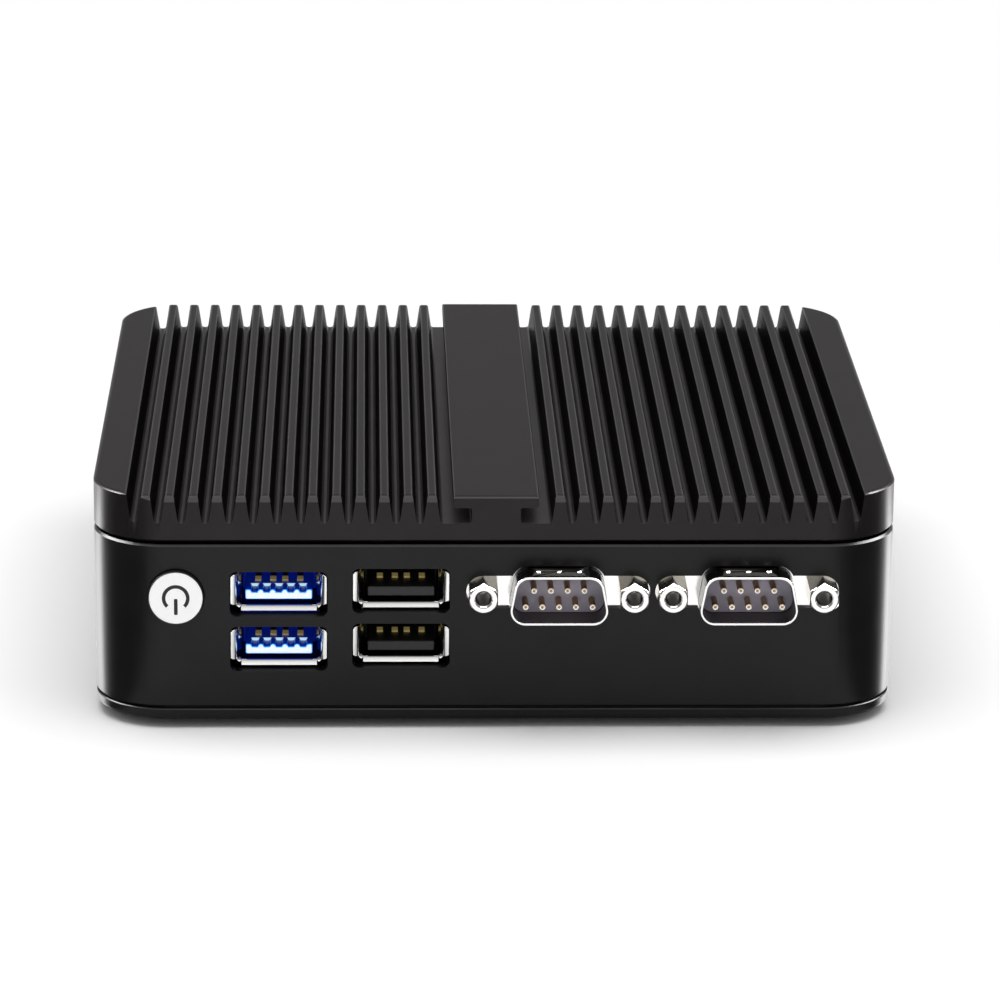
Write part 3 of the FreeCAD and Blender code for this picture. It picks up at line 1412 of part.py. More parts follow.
def inlet_pin():
    """Centre contact of the power inlet."""
    length = d.inlet_bore_depth - d.inlet_pin_setback
    made = cylinder("dc_jack_pin", d.inlet_x, rear - d.inlet_bore_depth, board_under - d.inlet_drop,
                    d.inlet_pin_radius, length, "rear")
    return part("dc_jack_pin", made)


def antenna_jack(name, side):
    """Bulkhead jack: flange inside the wall, neck through it, threaded barrel and crimp tail."""
    mouth = -d.antenna_reach
    thread_end = -d.antenna_nut_height - d.antenna_relief
    flange = cylinder(f"{name}_flange", 0, d.wall, 0, d.antenna_flange, d.antenna_flange_depth, "rear")
    neck = cylinder(f"{name}_neck", 0, mouth, 0, d.antenna_neck, d.wall - mouth, "rear")
    barrel = cylinder(f"{name}_barrel", 0, mouth, 0, d.antenna_radius, thread_end - mouth, "rear")
    tail = cylinder(f"{name}_tail", 0, d.wall, 0, d.antenna_tail_radius,
                    d.antenna_flange_depth + d.antenna_tail, "rear")
    bore = cylinder(f"{name}_bore", 0, mouth, 0, d.antenna_bore, d.antenna_bore_depth, "rear")
    shell = cut(f"{name}_shell", fused(f"{name}_blank", [flange, neck, barrel, tail]), [bore])
    pin = cylinder(f"{name}_pin", 0, mouth + d.antenna_pin_setback, 0, d.antenna_pin_radius,
                   d.antenna_bore_depth - d.antenna_pin_setback, "rear")
    made = fused(name, [shell, pin])
    place(made, side * d.antenna_x, rear, plate_top + d.antenna_rise, TURNED_TO_REAR)
    return part(name, made)


def antenna_nuts():
    made = []
    z = plate_top + d.antenna_rise
    for number, side in enumerate((-1, 1)):
        x = side * d.antenna_x
        bar = hexagon(f"nut_bar_{number}", x, rear, z, d.antenna_nut_flats, d.antenna_nut_height, "rear")
        hole = cylinder(f"nut_hole_{number}", x, rear, z, d.antenna_neck + d.antenna_nut_gap,
                        d.antenna_nut_height, "rear")
        made.append(cut(f"nut_{number}", bar, [hole]))
    return part("antenna_nuts", grouped("antenna_nuts", made))


def aerial_lead(name, side, inner_end, under_ports):
    """Thin coaxial lead from an antenna jack to the wireless card, in runs joined by arcs."""
    tail_end = rear - d.wall - d.antenna_flange_depth - d.antenna_tail
    card_low = board_under - d.wireless_drop - d.wireless_thickness
    card_end = d.wireless_front + d.wireless_socket_depth - d.wireless_insertion + d.wireless_depth
    level = plate_top + d.antenna_rise
    touch = card_low - d.aerial_lead_radius - d.aerial_lead_gap
    end_x = d.wireless_x + inner_end
    end_y = card_end - d.aerial_lead_inset
    route = [
        (side * d.antenna_x, tail_end, level),
        (side * d.antenna_x, tail_end - 10.0, level),
        *under_ports,
        (end_x + side * 8.0, end_y - 1.0, touch - 4.0),
        (end_x + side * 3.5, end_y, touch),
        (end_x, end_y, touch),
    ]
    points = [Vector(*(as_size(value).number for value in point)) for point in route]
    edges = []
    position = points[0]
    for before, corner, after in zip(points, points[1:], points[2:]):
        back = (before - corner).normalize()
        ahead = (after - corner).normalize()
        half = back.getAngle(ahead) / 2
        shorter = min(before.distanceToPoint(corner), after.distanceToPoint(corner))
        run = 0.45 * shorter
        radius = run * math.tan(half)
        entry = corner + back * run
        leave = corner + ahead * run
        crown = corner + (back + ahead).normalize() * (radius * (1 / math.sin(half) - 1))
        edges.append(Part.makeLine(position, entry))
        edges.append(Part.Arc(entry, crown, leave).toShape())
        position = leave
    edges.append(Part.makeLine(position, points[-1]))
    path = Part.Wire(edges)
    circle = Part.Circle(points[0], points[1] - points[0], d.aerial_lead_radius.number)
    section = Part.Wire([circle.toShape()])
    tube = path.makePipeShell([section], True, True)
    made = doc.addObject("Part::Feature", name)
    made.Shape = tube
    return part(name, made)


heatsink_cover()
housing_frame()
bottom_plate()
screws()
for foot_name, foot_side, foot_end in (
    ("foot_front_left", -1, -1),
    ("foot_front_right", 1, -1),
    ("foot_rear_left", -1, 1),
    ("foot_rear_right", 1, 1),
):
    foot(foot_name, foot_side, foot_end)
motherboard()
processor()
memory()
wireless()
clock_battery()
drive()
power_button()
usb_stack("usb3", d.usb3_x, d.usb3_drop, True)
usb_stack("usb2", d.usb2_x, d.usb2_drop, False)
dsub_port("com1", "serial", d.com1_x, front, Rotation())
dsub_port("com2", "serial", d.com2_x, front, Rotation())
dsub_port("vga", "display", d.display_x, rear, TURNED_TO_REAR)
hdmi_port()
lan_jack("lan1", d.lan1_x)
lan_jack("lan2", d.lan2_x)
barrel_jack("dc_jack_body", d.inlet_x, d.inlet_drop, d.inlet_nose_radius, d.inlet_bore_radius,
            d.inlet_bore_depth, d.inlet_body_width, d.inlet_body_depth)
inlet_pin()
barrel_jack("audio_jack", d.audio_x, d.audio_drop, d.audio_nose_radius, d.audio_bore_radius,
            d.audio_bore_depth, d.audio_body_width, d.audio_body_depth)
antenna_jack("antenna_jack_left", -1)
antenna_jack("antenna_jack_right", 1)
antenna_nuts()
aerial_lead("antenna_lead_left", -1, -6.0, [])
aerial_lead("antenna_lead_right", 1, 6.0, [(38.0, 38.5, 11.5), (10.0, 38.5, 18.0)])
doc.recompute()

for thing in doc.Objects:
    if "Invalid" in thing.State or "Error" in thing.State:
        raise RuntimeError(f"{thing.Label} failed: {thing.State}")
os.makedirs("parts", exist_ok=True)
for name, made in PARTS.items():
    shape = made.Shape
    if shape.isNull() or not shape.isValid() or not shape.Solids:
        raise RuntimeError(f"{name} has no valid solid")
    shape.exportStep(f"parts/{name}.step")
    print(f"{name}: {len(shape.Solids)} solid(s), {shape.Volume:.1f} mm3")
print(f"{len(PARTS)} nodes, case {d.case_width.number} x {d.case_depth.number} x {case_top.number:.2f} mm")
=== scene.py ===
import math

import bpy
from mathutils import Matrix, Vector


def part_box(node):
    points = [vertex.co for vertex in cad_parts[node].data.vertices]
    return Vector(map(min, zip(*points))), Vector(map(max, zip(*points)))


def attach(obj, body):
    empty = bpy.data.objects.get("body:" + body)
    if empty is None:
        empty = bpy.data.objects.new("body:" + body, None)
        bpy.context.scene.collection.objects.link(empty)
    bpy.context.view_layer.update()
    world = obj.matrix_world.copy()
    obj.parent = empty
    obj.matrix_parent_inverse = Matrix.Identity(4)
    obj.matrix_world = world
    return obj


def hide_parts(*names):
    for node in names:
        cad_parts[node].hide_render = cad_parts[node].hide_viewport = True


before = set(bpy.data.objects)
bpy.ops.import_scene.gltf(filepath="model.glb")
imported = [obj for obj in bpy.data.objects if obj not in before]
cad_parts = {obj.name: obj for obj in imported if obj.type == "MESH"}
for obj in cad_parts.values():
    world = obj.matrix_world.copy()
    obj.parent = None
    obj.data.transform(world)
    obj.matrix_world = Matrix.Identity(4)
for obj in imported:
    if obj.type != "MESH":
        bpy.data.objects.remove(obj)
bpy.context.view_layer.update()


# Camera
# A long lens looks at the ports from the front, 17 degrees above level and almost square on.
# Its place was fitted to the corners, fins and seams of the case in the photograph.

mm = 0.001
camera_turn = math.radians(-1.625)
camera_pitch = math.radians(16.918)
camera_roll = math.radians(0.468)
camera_distance = 878.658 * mm
camera_aim = Vector((2.369, 0, 19.248)) * mm
focal_length_px = 4927.04
photo_width_px = 1000
sensor_width = 36.0
nearest_seen = 0.05

level_right = Vector((math.cos(camera_turn), math.sin(camera_turn), 0))
away = Vector((math.sin(camera_turn) * math.cos(camera_pitch),
               -math.cos(camera_turn) * math.cos(camera_pitch), math.sin(camera_pitch)))
level_up = away.cross(level_right)
right = level_right * math.cos(camera_roll) + level_up * math.sin(camera_roll)
up = level_up * math.cos(camera_roll) - level_right * math.sin(camera_roll)
bpy.ops.object.camera_add()
camera = bpy.context.object
camera.name = "photo_camera"
camera.data.sensor_width = sensor_width
camera.data.lens = focal_length_px * sensor_width / photo_width_px
camera.data.clip_start = nearest_seen
camera.matrix_world = (Matrix.Translation(camera_aim + away * camera_distance)
                       @ Matrix((right, up, away)).transposed().to_4x4())
bpy.context.scene.camera = camera


# Studio
# A pale floor under a white surround, with a wide soft light overhead. The case's satin gloss also
# picks up boards that nothing else shows: beside each front corner one that is dark next to the
# front and bright behind the side, and high on each side one for the glint on the corner.

bpy.context.scene.view_settings.view_transform = "Standard"
floor_size = 6.0
floor_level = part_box("foot_front_left")[0].z
floor_colour = (0.9, 0.9, 0.9, 1)
floor_roughness = 0.9
white_from = 0.10
white_to = 0.30
gloss_dim_from = 65 * mm
gloss_dim_to = 130 * mm
gloss_dimming = 0.6
board_apex = Vector((66.0, -57.0)) * mm
board_reach = 260 * mm
board_rear = 40 * mm
board_lift = 0.3 * mm
board_light = 12.0
board_stops = ((0.0, 0.08), (0.10, 0.06), (0.20, 0.004), (0.60, 0.004), (0.69, 0.07), (0.73, 0.75),
               (0.78, 0.45), (0.85, 0.2), (1.0, 0.07))
glint_corner = (67.0, -60.0, 39.0)
glint_direction = (0.683, 0.274, 0.676)
glint_distance = 0.6
glint_size = 0.36
glint_light = 32.0
surround_light = 0.6
surround_in_gloss = 0.2
surround_dark_from = 0.15
overhead_place = (0, -0.10, 0.9)
overhead_aim = (0, 0, 0.02)
overhead_size = (1.0, 0.8)
overhead_power = 7.0


def join_sockets(tree, *pairs):
    """Links output sockets to input sockets."""
    for output, target in pairs:
        tree.links.new(output, target)


def math_node(tree, operation, *inputs):
    """Adds a math node whose inputs are given as numbers or output sockets."""
    node = tree.nodes.new("ShaderNodeMath")
    node.operation = operation
    for index, given in enumerate(inputs):
        if isinstance(given, bpy.types.NodeSocket):
            join_sockets(tree, (given, node.inputs[index]))
        else:
            node.inputs[index].default_value = given
    return node.outputs[0]


def map_range(tree, value, from_low, from_high, to_low=0.0, to_high=1.0):
    """Adds a node that maps one range of a value onto another, and returns its output socket."""
    node = tree.nodes.new("ShaderNodeMapRange")
    node.inputs["From Min"].default_value = from_low
    node.inputs["From Max"].default_value = from_high
    node.inputs["To Min"].default_value = to_low
    node.inputs["To Max"].default_value = to_high
    join_sockets(tree, (value, node.inputs["Value"]))
    return node.outputs["Result"]


def mixed_shader(tree, share, first, second):
    """Adds a mix of two shaders, with the second one's share, and returns its output socket."""
    node = tree.nodes.new("ShaderNodeMixShader")
    join_sockets(tree, (share, node.inputs["Fac"]), (first, node.inputs[1]),
                 (second, node.inputs[2]))
    return node.outputs["Shader"]


def glow(tree, strength):
    """Adds a light-giving shader and returns the node."""
    node = tree.nodes.new("ShaderNodeEmission")
    node.inputs["Strength"].default_value = strength
    return node


def deselect():
    bpy.ops.object.select_all(action="DESELECT")


def at_origin():
    """Bakes the active object's place into its mesh."""
    bpy.ops.object.transform_apply(location=True, rotation=True, scale=True)


def reflected_board(name, strength):
    """Makes the new plane a glowing board for reflections; returns its node tree and its light."""
    at_origin()
    board = bpy.context.object
    board.name = name
    paint = bpy.data.materials.new(name)
    paint.use_nodes = True
    tree = paint.node_tree
    tree.nodes.clear()
    light = glow(tree, strength)
    result = tree.nodes.new("ShaderNodeOutputMaterial")
    join_sockets(tree, (light.outputs["Emission"], result.inputs["Surface"]))
    board.data.materials.append(paint)
    board.visible_camera = False
    board.visible_diffuse = False
    board.visible_shadow = False
    board.visible_transmission = False
    return tree, light


def corner_board(name, side):
    """Board on the floor beside the case, lit by its angle round the front corner."""
    deselect()
    bpy.ops.mesh.primitive_plane_add(
        size=1, location=(side * (board_apex.x + board_reach / 2), (board_rear - board_reach) / 2,
                          floor_level + board_lift))
    bpy.context.object.scale = (board_reach, board_rear + board_reach, 1)
    tree, light = reflected_board(name, board_light)
    place = tree.nodes.new("ShaderNodeTexCoord")
    parts = tree.nodes.new("ShaderNodeSeparateXYZ")
    join_sockets(tree, (place.outputs["Object"], parts.inputs[0]))
    aside = math_node(tree, "MULTIPLY_ADD", parts.outputs["X"], side, -board_apex.x)
    ahead = math_node(tree, "MULTIPLY_ADD", parts.outputs["Y"], -1.0, board_apex.y)
    angle = math_node(tree, "ARCTAN2", aside, ahead)
    ramp = tree.nodes.new("ShaderNodeValToRGB")
    stops = ramp.color_ramp.elements
    while len(stops) < len(board_stops):
        stops.new(0.5)
    for stop, (where, level) in zip(stops, board_stops):
        stop.position = where
        stop.color = (level, level, level, 1)
    join_sockets(tree, (math_node(tree, "DIVIDE", angle, math.pi), ramp.inputs["Fac"]),
                 (ramp.outputs["Color"], light.inputs["Color"]))


def glint_board(name, side):
    """Bright board high to one side, which the rounded front corners of the case reflect."""
    deselect()
    mirrored = Vector((side, 1, 1))
    corner = Vector(glint_corner) * mirrored * mm
    towards = Vector(glint_direction) * mirrored
    bpy.ops.mesh.primitive_plane_add(size=glint_size, location=corner + towards * glint_distance)
    bpy.context.object.rotation_euler = towards.to_track_quat("Z", "Y").to_euler()
    reflected_board(name, glint_light)


def floor_finish():
    """Matt paint that the camera sees fade to white, that gloss sees dimmed beside the case, and
    that is clear from below."""
    paint = bpy.data.materials.new("studio_floor")
    paint.use_nodes = True
    tree = paint.node_tree
    matt = tree.nodes["Principled BSDF"]
    matt.inputs["Base Color"].default_value = floor_colour
    matt.inputs["Roughness"].default_value = floor_roughness
    matt.inputs["Specular IOR Level"].default_value = 0.0
    place = tree.nodes.new("ShaderNodeTexCoord")
    from_middle = tree.nodes.new("ShaderNodeVectorMath")
    from_middle.operation = "LENGTH"
    join_sockets(tree, (place.outputs["Object"], from_middle.inputs[0]))
    distance = from_middle.outputs["Value"]
    path = tree.nodes.new("ShaderNodeLightPath")
    whiter = math_node(tree, "MULTIPLY", map_range(tree, distance, white_from, white_to),
                       path.outputs["Is Camera Ray"])
    seen = mixed_shader(tree, whiter, matt.outputs["BSDF"], glow(tree, 1.0).outputs["Emission"])
    dimmer = math_node(tree, "MULTIPLY",
                       map_range(tree, distance, gloss_dim_from, gloss_dim_to, gloss_dimming, 0.0),
                       path.outputs["Is Glossy Ray"])
    reflected = mixed_shader(tree, dimmer, seen, glow(tree, 0.0).outputs["Emission"])
    side = tree.nodes.new("ShaderNodeNewGeometry")
    clear = tree.nodes.new("ShaderNodeBsdfTransparent")
    both_sides = mixed_shader(tree, side.outputs["Backfacing"], reflected, clear.outputs["BSDF"])
    join_sockets(tree, (both_sides, tree.nodes["Material Output"].inputs["Surface"]))
    return paint


def light_surround(tree):
    """White for the camera, darker above the horizon in reflections, and dimmed as a light."""
    surround = tree.nodes["Background"]
    surround.inputs["Color"].default_value = (1, 1, 1, 1)
    path = tree.nodes.new("ShaderNodeLightPath")
    direction = tree.nodes.new("ShaderNodeTexCoord")
    upward = tree.nodes.new("ShaderNodeSeparateXYZ")
    join_sockets(tree, (direction.outputs["Generated"], upward.inputs[0]))
    darker_above = map_range(tree, upward.outputs["Z"], 0.0, surround_dark_from, 1.0,
                             surround_in_gloss)
    reflected = math_node(tree, "MAXIMUM", path.outputs["Is Glossy Ray"],
                          path.outputs["Is Transmission Ray"])
    shown = math_node(tree, "MAXIMUM", path.outputs["Is Camera Ray"],
                      math_node(tree, "MULTIPLY", reflected, darker_above))
    seen = math_node(tree, "MAXIMUM", path.outputs["Is Camera Ray"], reflected)
    unseen = math_node(tree, "SUBTRACT", 1.0, seen)
    join_sockets(tree, (math_node(tree, "MULTIPLY_ADD", unseen, surround_light, shown),
                        surround.inputs["Strength"]))


deselect()
bpy.ops.mesh.primitive_plane_add(size=floor_size, location=(0, 0, floor_level))
studio_floor = bpy.context.object
studio_floor.name = "studio_floor"
studio_floor.data.materials.append(floor_finish())
corner_board("left_board", -1)
corner_board("right_board", 1)
glint_board("left_glint", -1)
glint_board("right_glint", 1)

world = bpy.data.worlds.new("white_surround")
bpy.context.scene.world = world
world.use_nodes = True
light_surround(world.node_tree)

bpy.ops.object.light_add(type="AREA", location=overhead_place)
overhead = bpy.context.object
overhead.name = "overhead_light"
overhead_way = Vector(overhead_aim) - Vector(overhead_place)
overhead.rotation_euler = overhead_way.to_track_quat("-Z", "Y").to_euler()
overhead.data.shape = "RECTANGLE"
overhead.data.size, overhead.data.size_y = overhead_size
overhead.data.energy = overhead_power


# Bottom plate
# Aluminium plate, sawn and milled, bead-blasted and dyed black. It closes the case from below and
# carries the bracket holes, the feet and the drive.

blotch_per_grain = 60.0
blotch_contrast = (0.35, 0.65)
grain_height = 0.05 * mm
coat_roughness = 0.08
weld_distance = 0.0005 * mm
flat_angle = math.radians(0.6)
case_edge = 0.12 * mm


def fine_grain():
    """Node group: blotched colour, uneven gloss and a fine relief, as on a blasted surface."""
    if "fine_grain" in bpy.data.node_groups:
        return bpy.data.node_groups["fine_grain"]
    group = bpy.data.node_groups.new("fine_grain", "ShaderNodeTree")
    for label, kind, start in (
        ("Colour", "NodeSocketColor", (0.5, 0.5, 0.5, 1)),
        ("Blotch Colour", "NodeSocketColor", (0.5, 0.5, 0.5, 1)),
        ("Roughness", "NodeSocketFloat", 0.5),
        ("Gloss Spread", "NodeSocketFloat", 0.1),
        ("Grains Per Metre", "NodeSocketFloat", 4000.0),
        ("Relief", "NodeSocketFloat", 0.1),
    ):
        socket = group.interface.new_socket(label, in_out="INPUT", socket_type=kind)
        socket.default_value = start
    for label, kind in (("Colour", "NodeSocketColor"), ("Roughness", "NodeSocketFloat"),
                        ("Normal", "NodeSocketVector")):
        group.interface.new_socket(label, in_out="OUTPUT", socket_type=kind)
    given = group.nodes.new("NodeGroupInput").outputs
    result = group.nodes.new("NodeGroupOutput").inputs
    place = group.nodes.new("ShaderNodeTexCoord").outputs["Object"]
    grain = group.nodes.new("ShaderNodeTexNoise")
    grain.inputs["Detail"].default_value = 3.0
    blotch = group.nodes.new("ShaderNodeTexNoise")
    blotch.inputs["Detail"].default_value = 4.0
    tint = group.nodes.new("ShaderNodeMix")
    tint.data_type = "RGBA"
    bump = group.nodes.new("ShaderNodeBump")
    bump.inputs["Distance"].default_value = grain_height
    join_sockets(
        group,
        (place, grain.inputs["Vector"]),
        (place, blotch.inputs["Vector"]),
        (given["Grains Per Metre"], grain.inputs["Scale"]),
        (math_node(group, "DIVIDE", given["Grains Per Metre"], blotch_per_grain),
         blotch.inputs["Scale"]),
        (map_range(group, blotch.outputs["Fac"], *blotch_contrast), tint.inputs["Factor"]),
        (given["Colour"], tint.inputs["A"]),
        (given["Blotch Colour"], tint.inputs["B"]),
        (tint.outputs["Result"], result["Colour"]),
        (math_node(group, "MULTIPLY_ADD", math_node(group, "SUBTRACT", grain.outputs["Fac"], 0.5),
                   given["Gloss Spread"], given["Roughness"]), result["Roughness"]),
        (grain.outputs["Fac"], bump.inputs["Height"]),
        (given["Relief"], bump.inputs["Strength"]),
        (bump.outputs["Normal"], result["Normal"]),
    )
    return group


def coloured(name, colour, blotch, roughness, spread=0.1, grains=4000.0, relief=0.1, metallic=0.0,
             specular=0.5, coat=0.0):
    """Material with the fine grain of its own size, colour and gloss."""
    made = bpy.data.materials.new(name)
    made.use_nodes = True
    shader = made.node_tree.nodes["Principled BSDF"]
    shader.inputs["Metallic"].default_value = metallic
    shader.inputs["Specular IOR Level"].default_value = specular
    shader.inputs["Coat Weight"].default_value = coat
    shader.inputs["Coat Roughness"].default_value = coat_roughness
    grain = made.node_tree.nodes.new("ShaderNodeGroup")
    grain.node_tree = fine_grain()
    grain.inputs["Colour"].default_value = (*colour, 1)
    grain.inputs["Blotch Colour"].default_value = (*blotch, 1)
    grain.inputs["Roughness"].default_value = roughness
    grain.inputs["Gloss Spread"].default_value = spread
    grain.inputs["Grains Per Metre"].default_value = grains
    grain.inputs["Relief"].default_value = relief
    join_sockets(made.node_tree, (grain.outputs["Colour"], shader.inputs["Base Color"]),
                 (grain.outputs["Roughness"], shader.inputs["Roughness"]),
                 (grain.outputs["Normal"], shader.inputs["Normal"]))
    return made


def finished(piece, name, body, slot, *nodes):
    """Names a finished piece, seats it on its body and lets it stand for its CAD nodes."""
    piece.name = name
    piece.data.name = name
    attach(piece, body)
    if nodes:
        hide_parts(*nodes)
    return piece


def make_active(piece):
    """Selects one piece alone."""
    deselect()
    piece.select_set(True)
    bpy.context.view_layer.objects.active = piece


def flats_kept_flat(piece, sharp=50):
    """Smooth shading up to an angle, where the large faces rule the small round ones at them."""
    bpy.ops.object.shade_smooth_by_angle(angle=math.radians(sharp))
    weighted = piece.modifiers.new("flat_faces", "WEIGHTED_NORMAL")
    weighted.keep_sharp = True
    weighted.weight = 100
    bpy.ops.object.modifier_apply(modifier=weighted.name)


def edges_broken(piece, width, steps, sharp, finish=-1):
    """Small rounded bevel on every sharp edge of the active piece."""
    bevel = piece.modifiers.new("edge_break", "BEVEL")
    bevel.width = width
    bevel.segments = steps
    bevel.limit_method = "ANGLE"
    bevel.angle_limit = math.radians(sharp)
    bevel.material = finish
    bpy.ops.object.modifier_apply(modifier=bevel.name)


def eased_copy(node, width, *finishes, steps=2, sharp=30, smooth=50, shaping=None):
    """Copy of a CAD node with whole flat faces, and with small bevels that take its second finish.

    While the bevel runs the two finishes are empty slots, because the bevel needs them to be there.
    """
    piece = bpy.data.objects.new(node + "_finished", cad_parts[node].data.copy())
    bpy.context.scene.collection.objects.link(piece)
    piece.data.materials.clear()
    make_active(piece)
    bpy.ops.object.mode_set(mode="EDIT")
    bpy.ops.mesh.select_all(action="SELECT")
    bpy.ops.mesh.remove_doubles(threshold=weld_distance)
    bpy.ops.mesh.dissolve_limited(angle_limit=flat_angle)
    bpy.ops.object.mode_set(mode="OBJECT")
    piece.data.materials.append(None)
    piece.data.materials.append(None)
    if shaping:
        shaping(piece)
    if width:
        edges_broken(piece, width, steps, sharp, finish=1)
    bevelled = [face.material_index for face in piece.data.polygons]
    piece.data.materials.clear()
    for face, finish in zip(piece.data.polygons, bevelled):
        face.material_index = finish
    flats_kept_flat(piece, smooth)
    for material in finishes:
        piece.data.materials.append(material)
    return piece


anodised_black = coloured("anodised_black", (0.0045, 0.0045, 0.0047), (0.006, 0.006, 0.0062), 0.3,
                          spread=0.08, grains=9000.0, relief=0.08, specular=0.25)
# The bevels along the case's edges take a lighter black than the faces: a painted highlight.
anodised_edge_highlight = coloured("anodised_edge_highlight", (0.017, 0.016, 0.016), (0.025, 0.024, 0.024), 0.28,
                         spread=0.12, grains=9000.0, relief=0.05, specular=0.45)

# The plate's bevels take the lighter black, a painted highlight along its edges.
plate = eased_copy("bottom_plate", case_edge, anodised_black, anodised_edge_highlight)
finished(plate, "bottom_plate_finished", "case", "black_anodised", "bottom_plate")


# Rubber feet
# Four moulded rubber discs, stuck under the corners of the bottom plate. They keep the case from
# sliding and hold its screws clear of the table.

foot_edge = 0.15 * mm
foot_rubber = coloured("foot_rubber", (0.018, 0.018, 0.018), (0.026, 0.026, 0.025), 0.78,
                       spread=0.15, grains=3500.0, relief=0.35, specular=0.3)
for corner in ("front_left", "front_right", "rear_left", "rear_right"):
    foot = eased_copy(f"foot_{corner}", foot_edge, foot_rubber, foot_rubber, steps=3)
    finished(foot, f"foot_{corner}_finished", "case", "foot_rubber", f"foot_{corner}")


# Case, drive and board screws
# Steel screws with hexagon sockets: black countersunk ones from below, and zinc-plated ones that
# hold the main board to the standoffs of the cover.

def painted(material, *nodes):
    """Gives CAD nodes whose shape is right the finish of the real piece."""
    for node in nodes:
        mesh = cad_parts[node].data
        mesh.materials.clear()
        mesh.materials.append(material)


black_steel = coloured("black_steel", (0.03, 0.03, 0.032), (0.05, 0.05, 0.052), 0.38, spread=0.2,
                       grains=6000.0, relief=0.12, metallic=1.0)
zinc_plate = coloured("zinc_plate", (0.62, 0.62, 0.6), (0.7, 0.68, 0.62), 0.3, spread=0.2,
                      grains=5000.0, relief=0.1, metallic=1.0)
painted(black_steel, "case_screws", "drive_screws")
painted(zinc_plate, "board_screws")


# Housing ring
# One extruded aluminium ring, milled for the ports, bead-blasted and dyed black like the cover.
# Its upper and lower edges are chamfered, so a dark line shows at each seam.

# The ring's bevels take the lighter black, a painted highlight along its edges.
ring = eased_copy("housing_frame", case_edge, anodised_black, anodised_edge_highlight)
finished(ring, "housing_frame_finished", "case", "black_anodised", "housing_frame")


# Finned cover
# Extruded aluminium heat sink with milled grooves and a T rail for fixing clips, dyed black. The
# grooves are painted darkest on their walls, as shade, and paler on their rounded floors, as
# painted light, and the step above the seam is painted near black, as shade.

fin_tip_round = 0.42 * mm
cover_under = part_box("housing_frame")[1].z
seam_height = 0.53 * mm
seam_from_middle = 60 * mm
groove_floor_level = cover_under + 3.7 * mm
groove_floor_round = 0.6 * mm
outer_rib = 61 * mm
steep = 0.5
sideways = 0.8
upwards = 0.3
hair = 0.01 * mm
anodised_fins = coloured("anodised_fins", (0.0075, 0.0052, 0.0056), (0.0095, 0.0068, 0.0072), 0.3,
                         spread=0.08, grains=9000.0, relief=0.08, specular=0.27)
# Painted shade and light: near black for the seam step and the groove walls, a paler black for the
# groove floors.
seam_shadow = coloured("seam_shadow", (0.0005, 0.0005, 0.0005), (0.001, 0.001, 0.001), 0.9,
                       grains=4000.0, relief=0.1, specular=0.0)
groove_wall_shade = coloured("groove_wall_shade", (0.0008, 0.0006, 0.0006), (0.0014, 0.001, 0.001), 0.4,
                        grains=9000.0, relief=0.08, specular=0.03)
groove_floor_light = coloured("groove_floor_light", (0.034, 0.030, 0.0305), (0.042, 0.037, 0.038), 0.32,
                         spread=0.08, grains=9000.0, relief=0.08, specular=0.45)


def select_where(piece, wanted):
    """In edit mode, selects the vertices that pass a test on their place."""
    bpy.ops.mesh.select_mode(type="VERT")
    bpy.ops.mesh.select_all(action="DESELECT")
    bpy.ops.object.mode_set(mode="OBJECT")
    for vertex in piece.data.vertices:
        vertex.select = wanted(vertex.co)
    bpy.ops.object.mode_set(mode="EDIT")


def rounded_top_edges(piece):
    """Rounds the edges round every face at the very top of a piece."""
    top = max(corner.co.z for corner in piece.data.vertices)
    bpy.ops.object.mode_set(mode="EDIT")
    select_where(piece, lambda place: place.z > top - hair)
    bpy.ops.mesh.bevel(offset=fin_tip_round, segments=4)
    bpy.ops.object.mode_set(mode="OBJECT")


def paint_faces(piece, material, wanted):
    """Gives a further finish to the faces that pass a test on their place and normal."""
    piece.data.materials.append(material)
    index = len(piece.data.materials) - 1
    for face in piece.data.polygons:
        if wanted(face):
            face.material_index = index


def in_seam(face):
    return (cover_under < face.center.z < cover_under + seam_height and abs(face.normal.z) < steep
            and abs(face.center.x) + abs(face.center.y) > seam_from_middle)


def in_groove_wall(face):
    return (face.material_index == 0 and abs(face.normal.x) > sideways
            and abs(face.center.x) < outer_rib
            and face.center.z > groove_floor_level + groove_floor_round)


def in_groove_floor(face):
    return (face.material_index == 0 and face.normal.z > upwards
            and abs(face.center.z - groove_floor_level) < groove_floor_round)


# The cover's bevels take the lighter black too, a painted highlight along its edges.
cover = eased_copy("heatsink_cover", case_edge, anodised_fins, anodised_edge_highlight,
                   shaping=rounded_top_edges)
# Paints the seam step and the groove walls dark as shade, and the groove floors paler as painted
# light.
paint_faces(cover, seam_shadow, in_seam)
paint_faces(cover, groove_wall_shade, in_groove_wall)
paint_faces(cover, groove_floor_light, in_groove_floor)
finished(cover, "heatsink_cover_finished", "case", "black_anodised", "heatsink_cover")


# Main board and what it carries
# Glass-fibre board under a dark green solder mask. The processor, the memory and wireless cards
# in their sockets and the clock battery sit on it, all inside the closed case.

tracks_per_metre = 60.0
track_width = 0.012


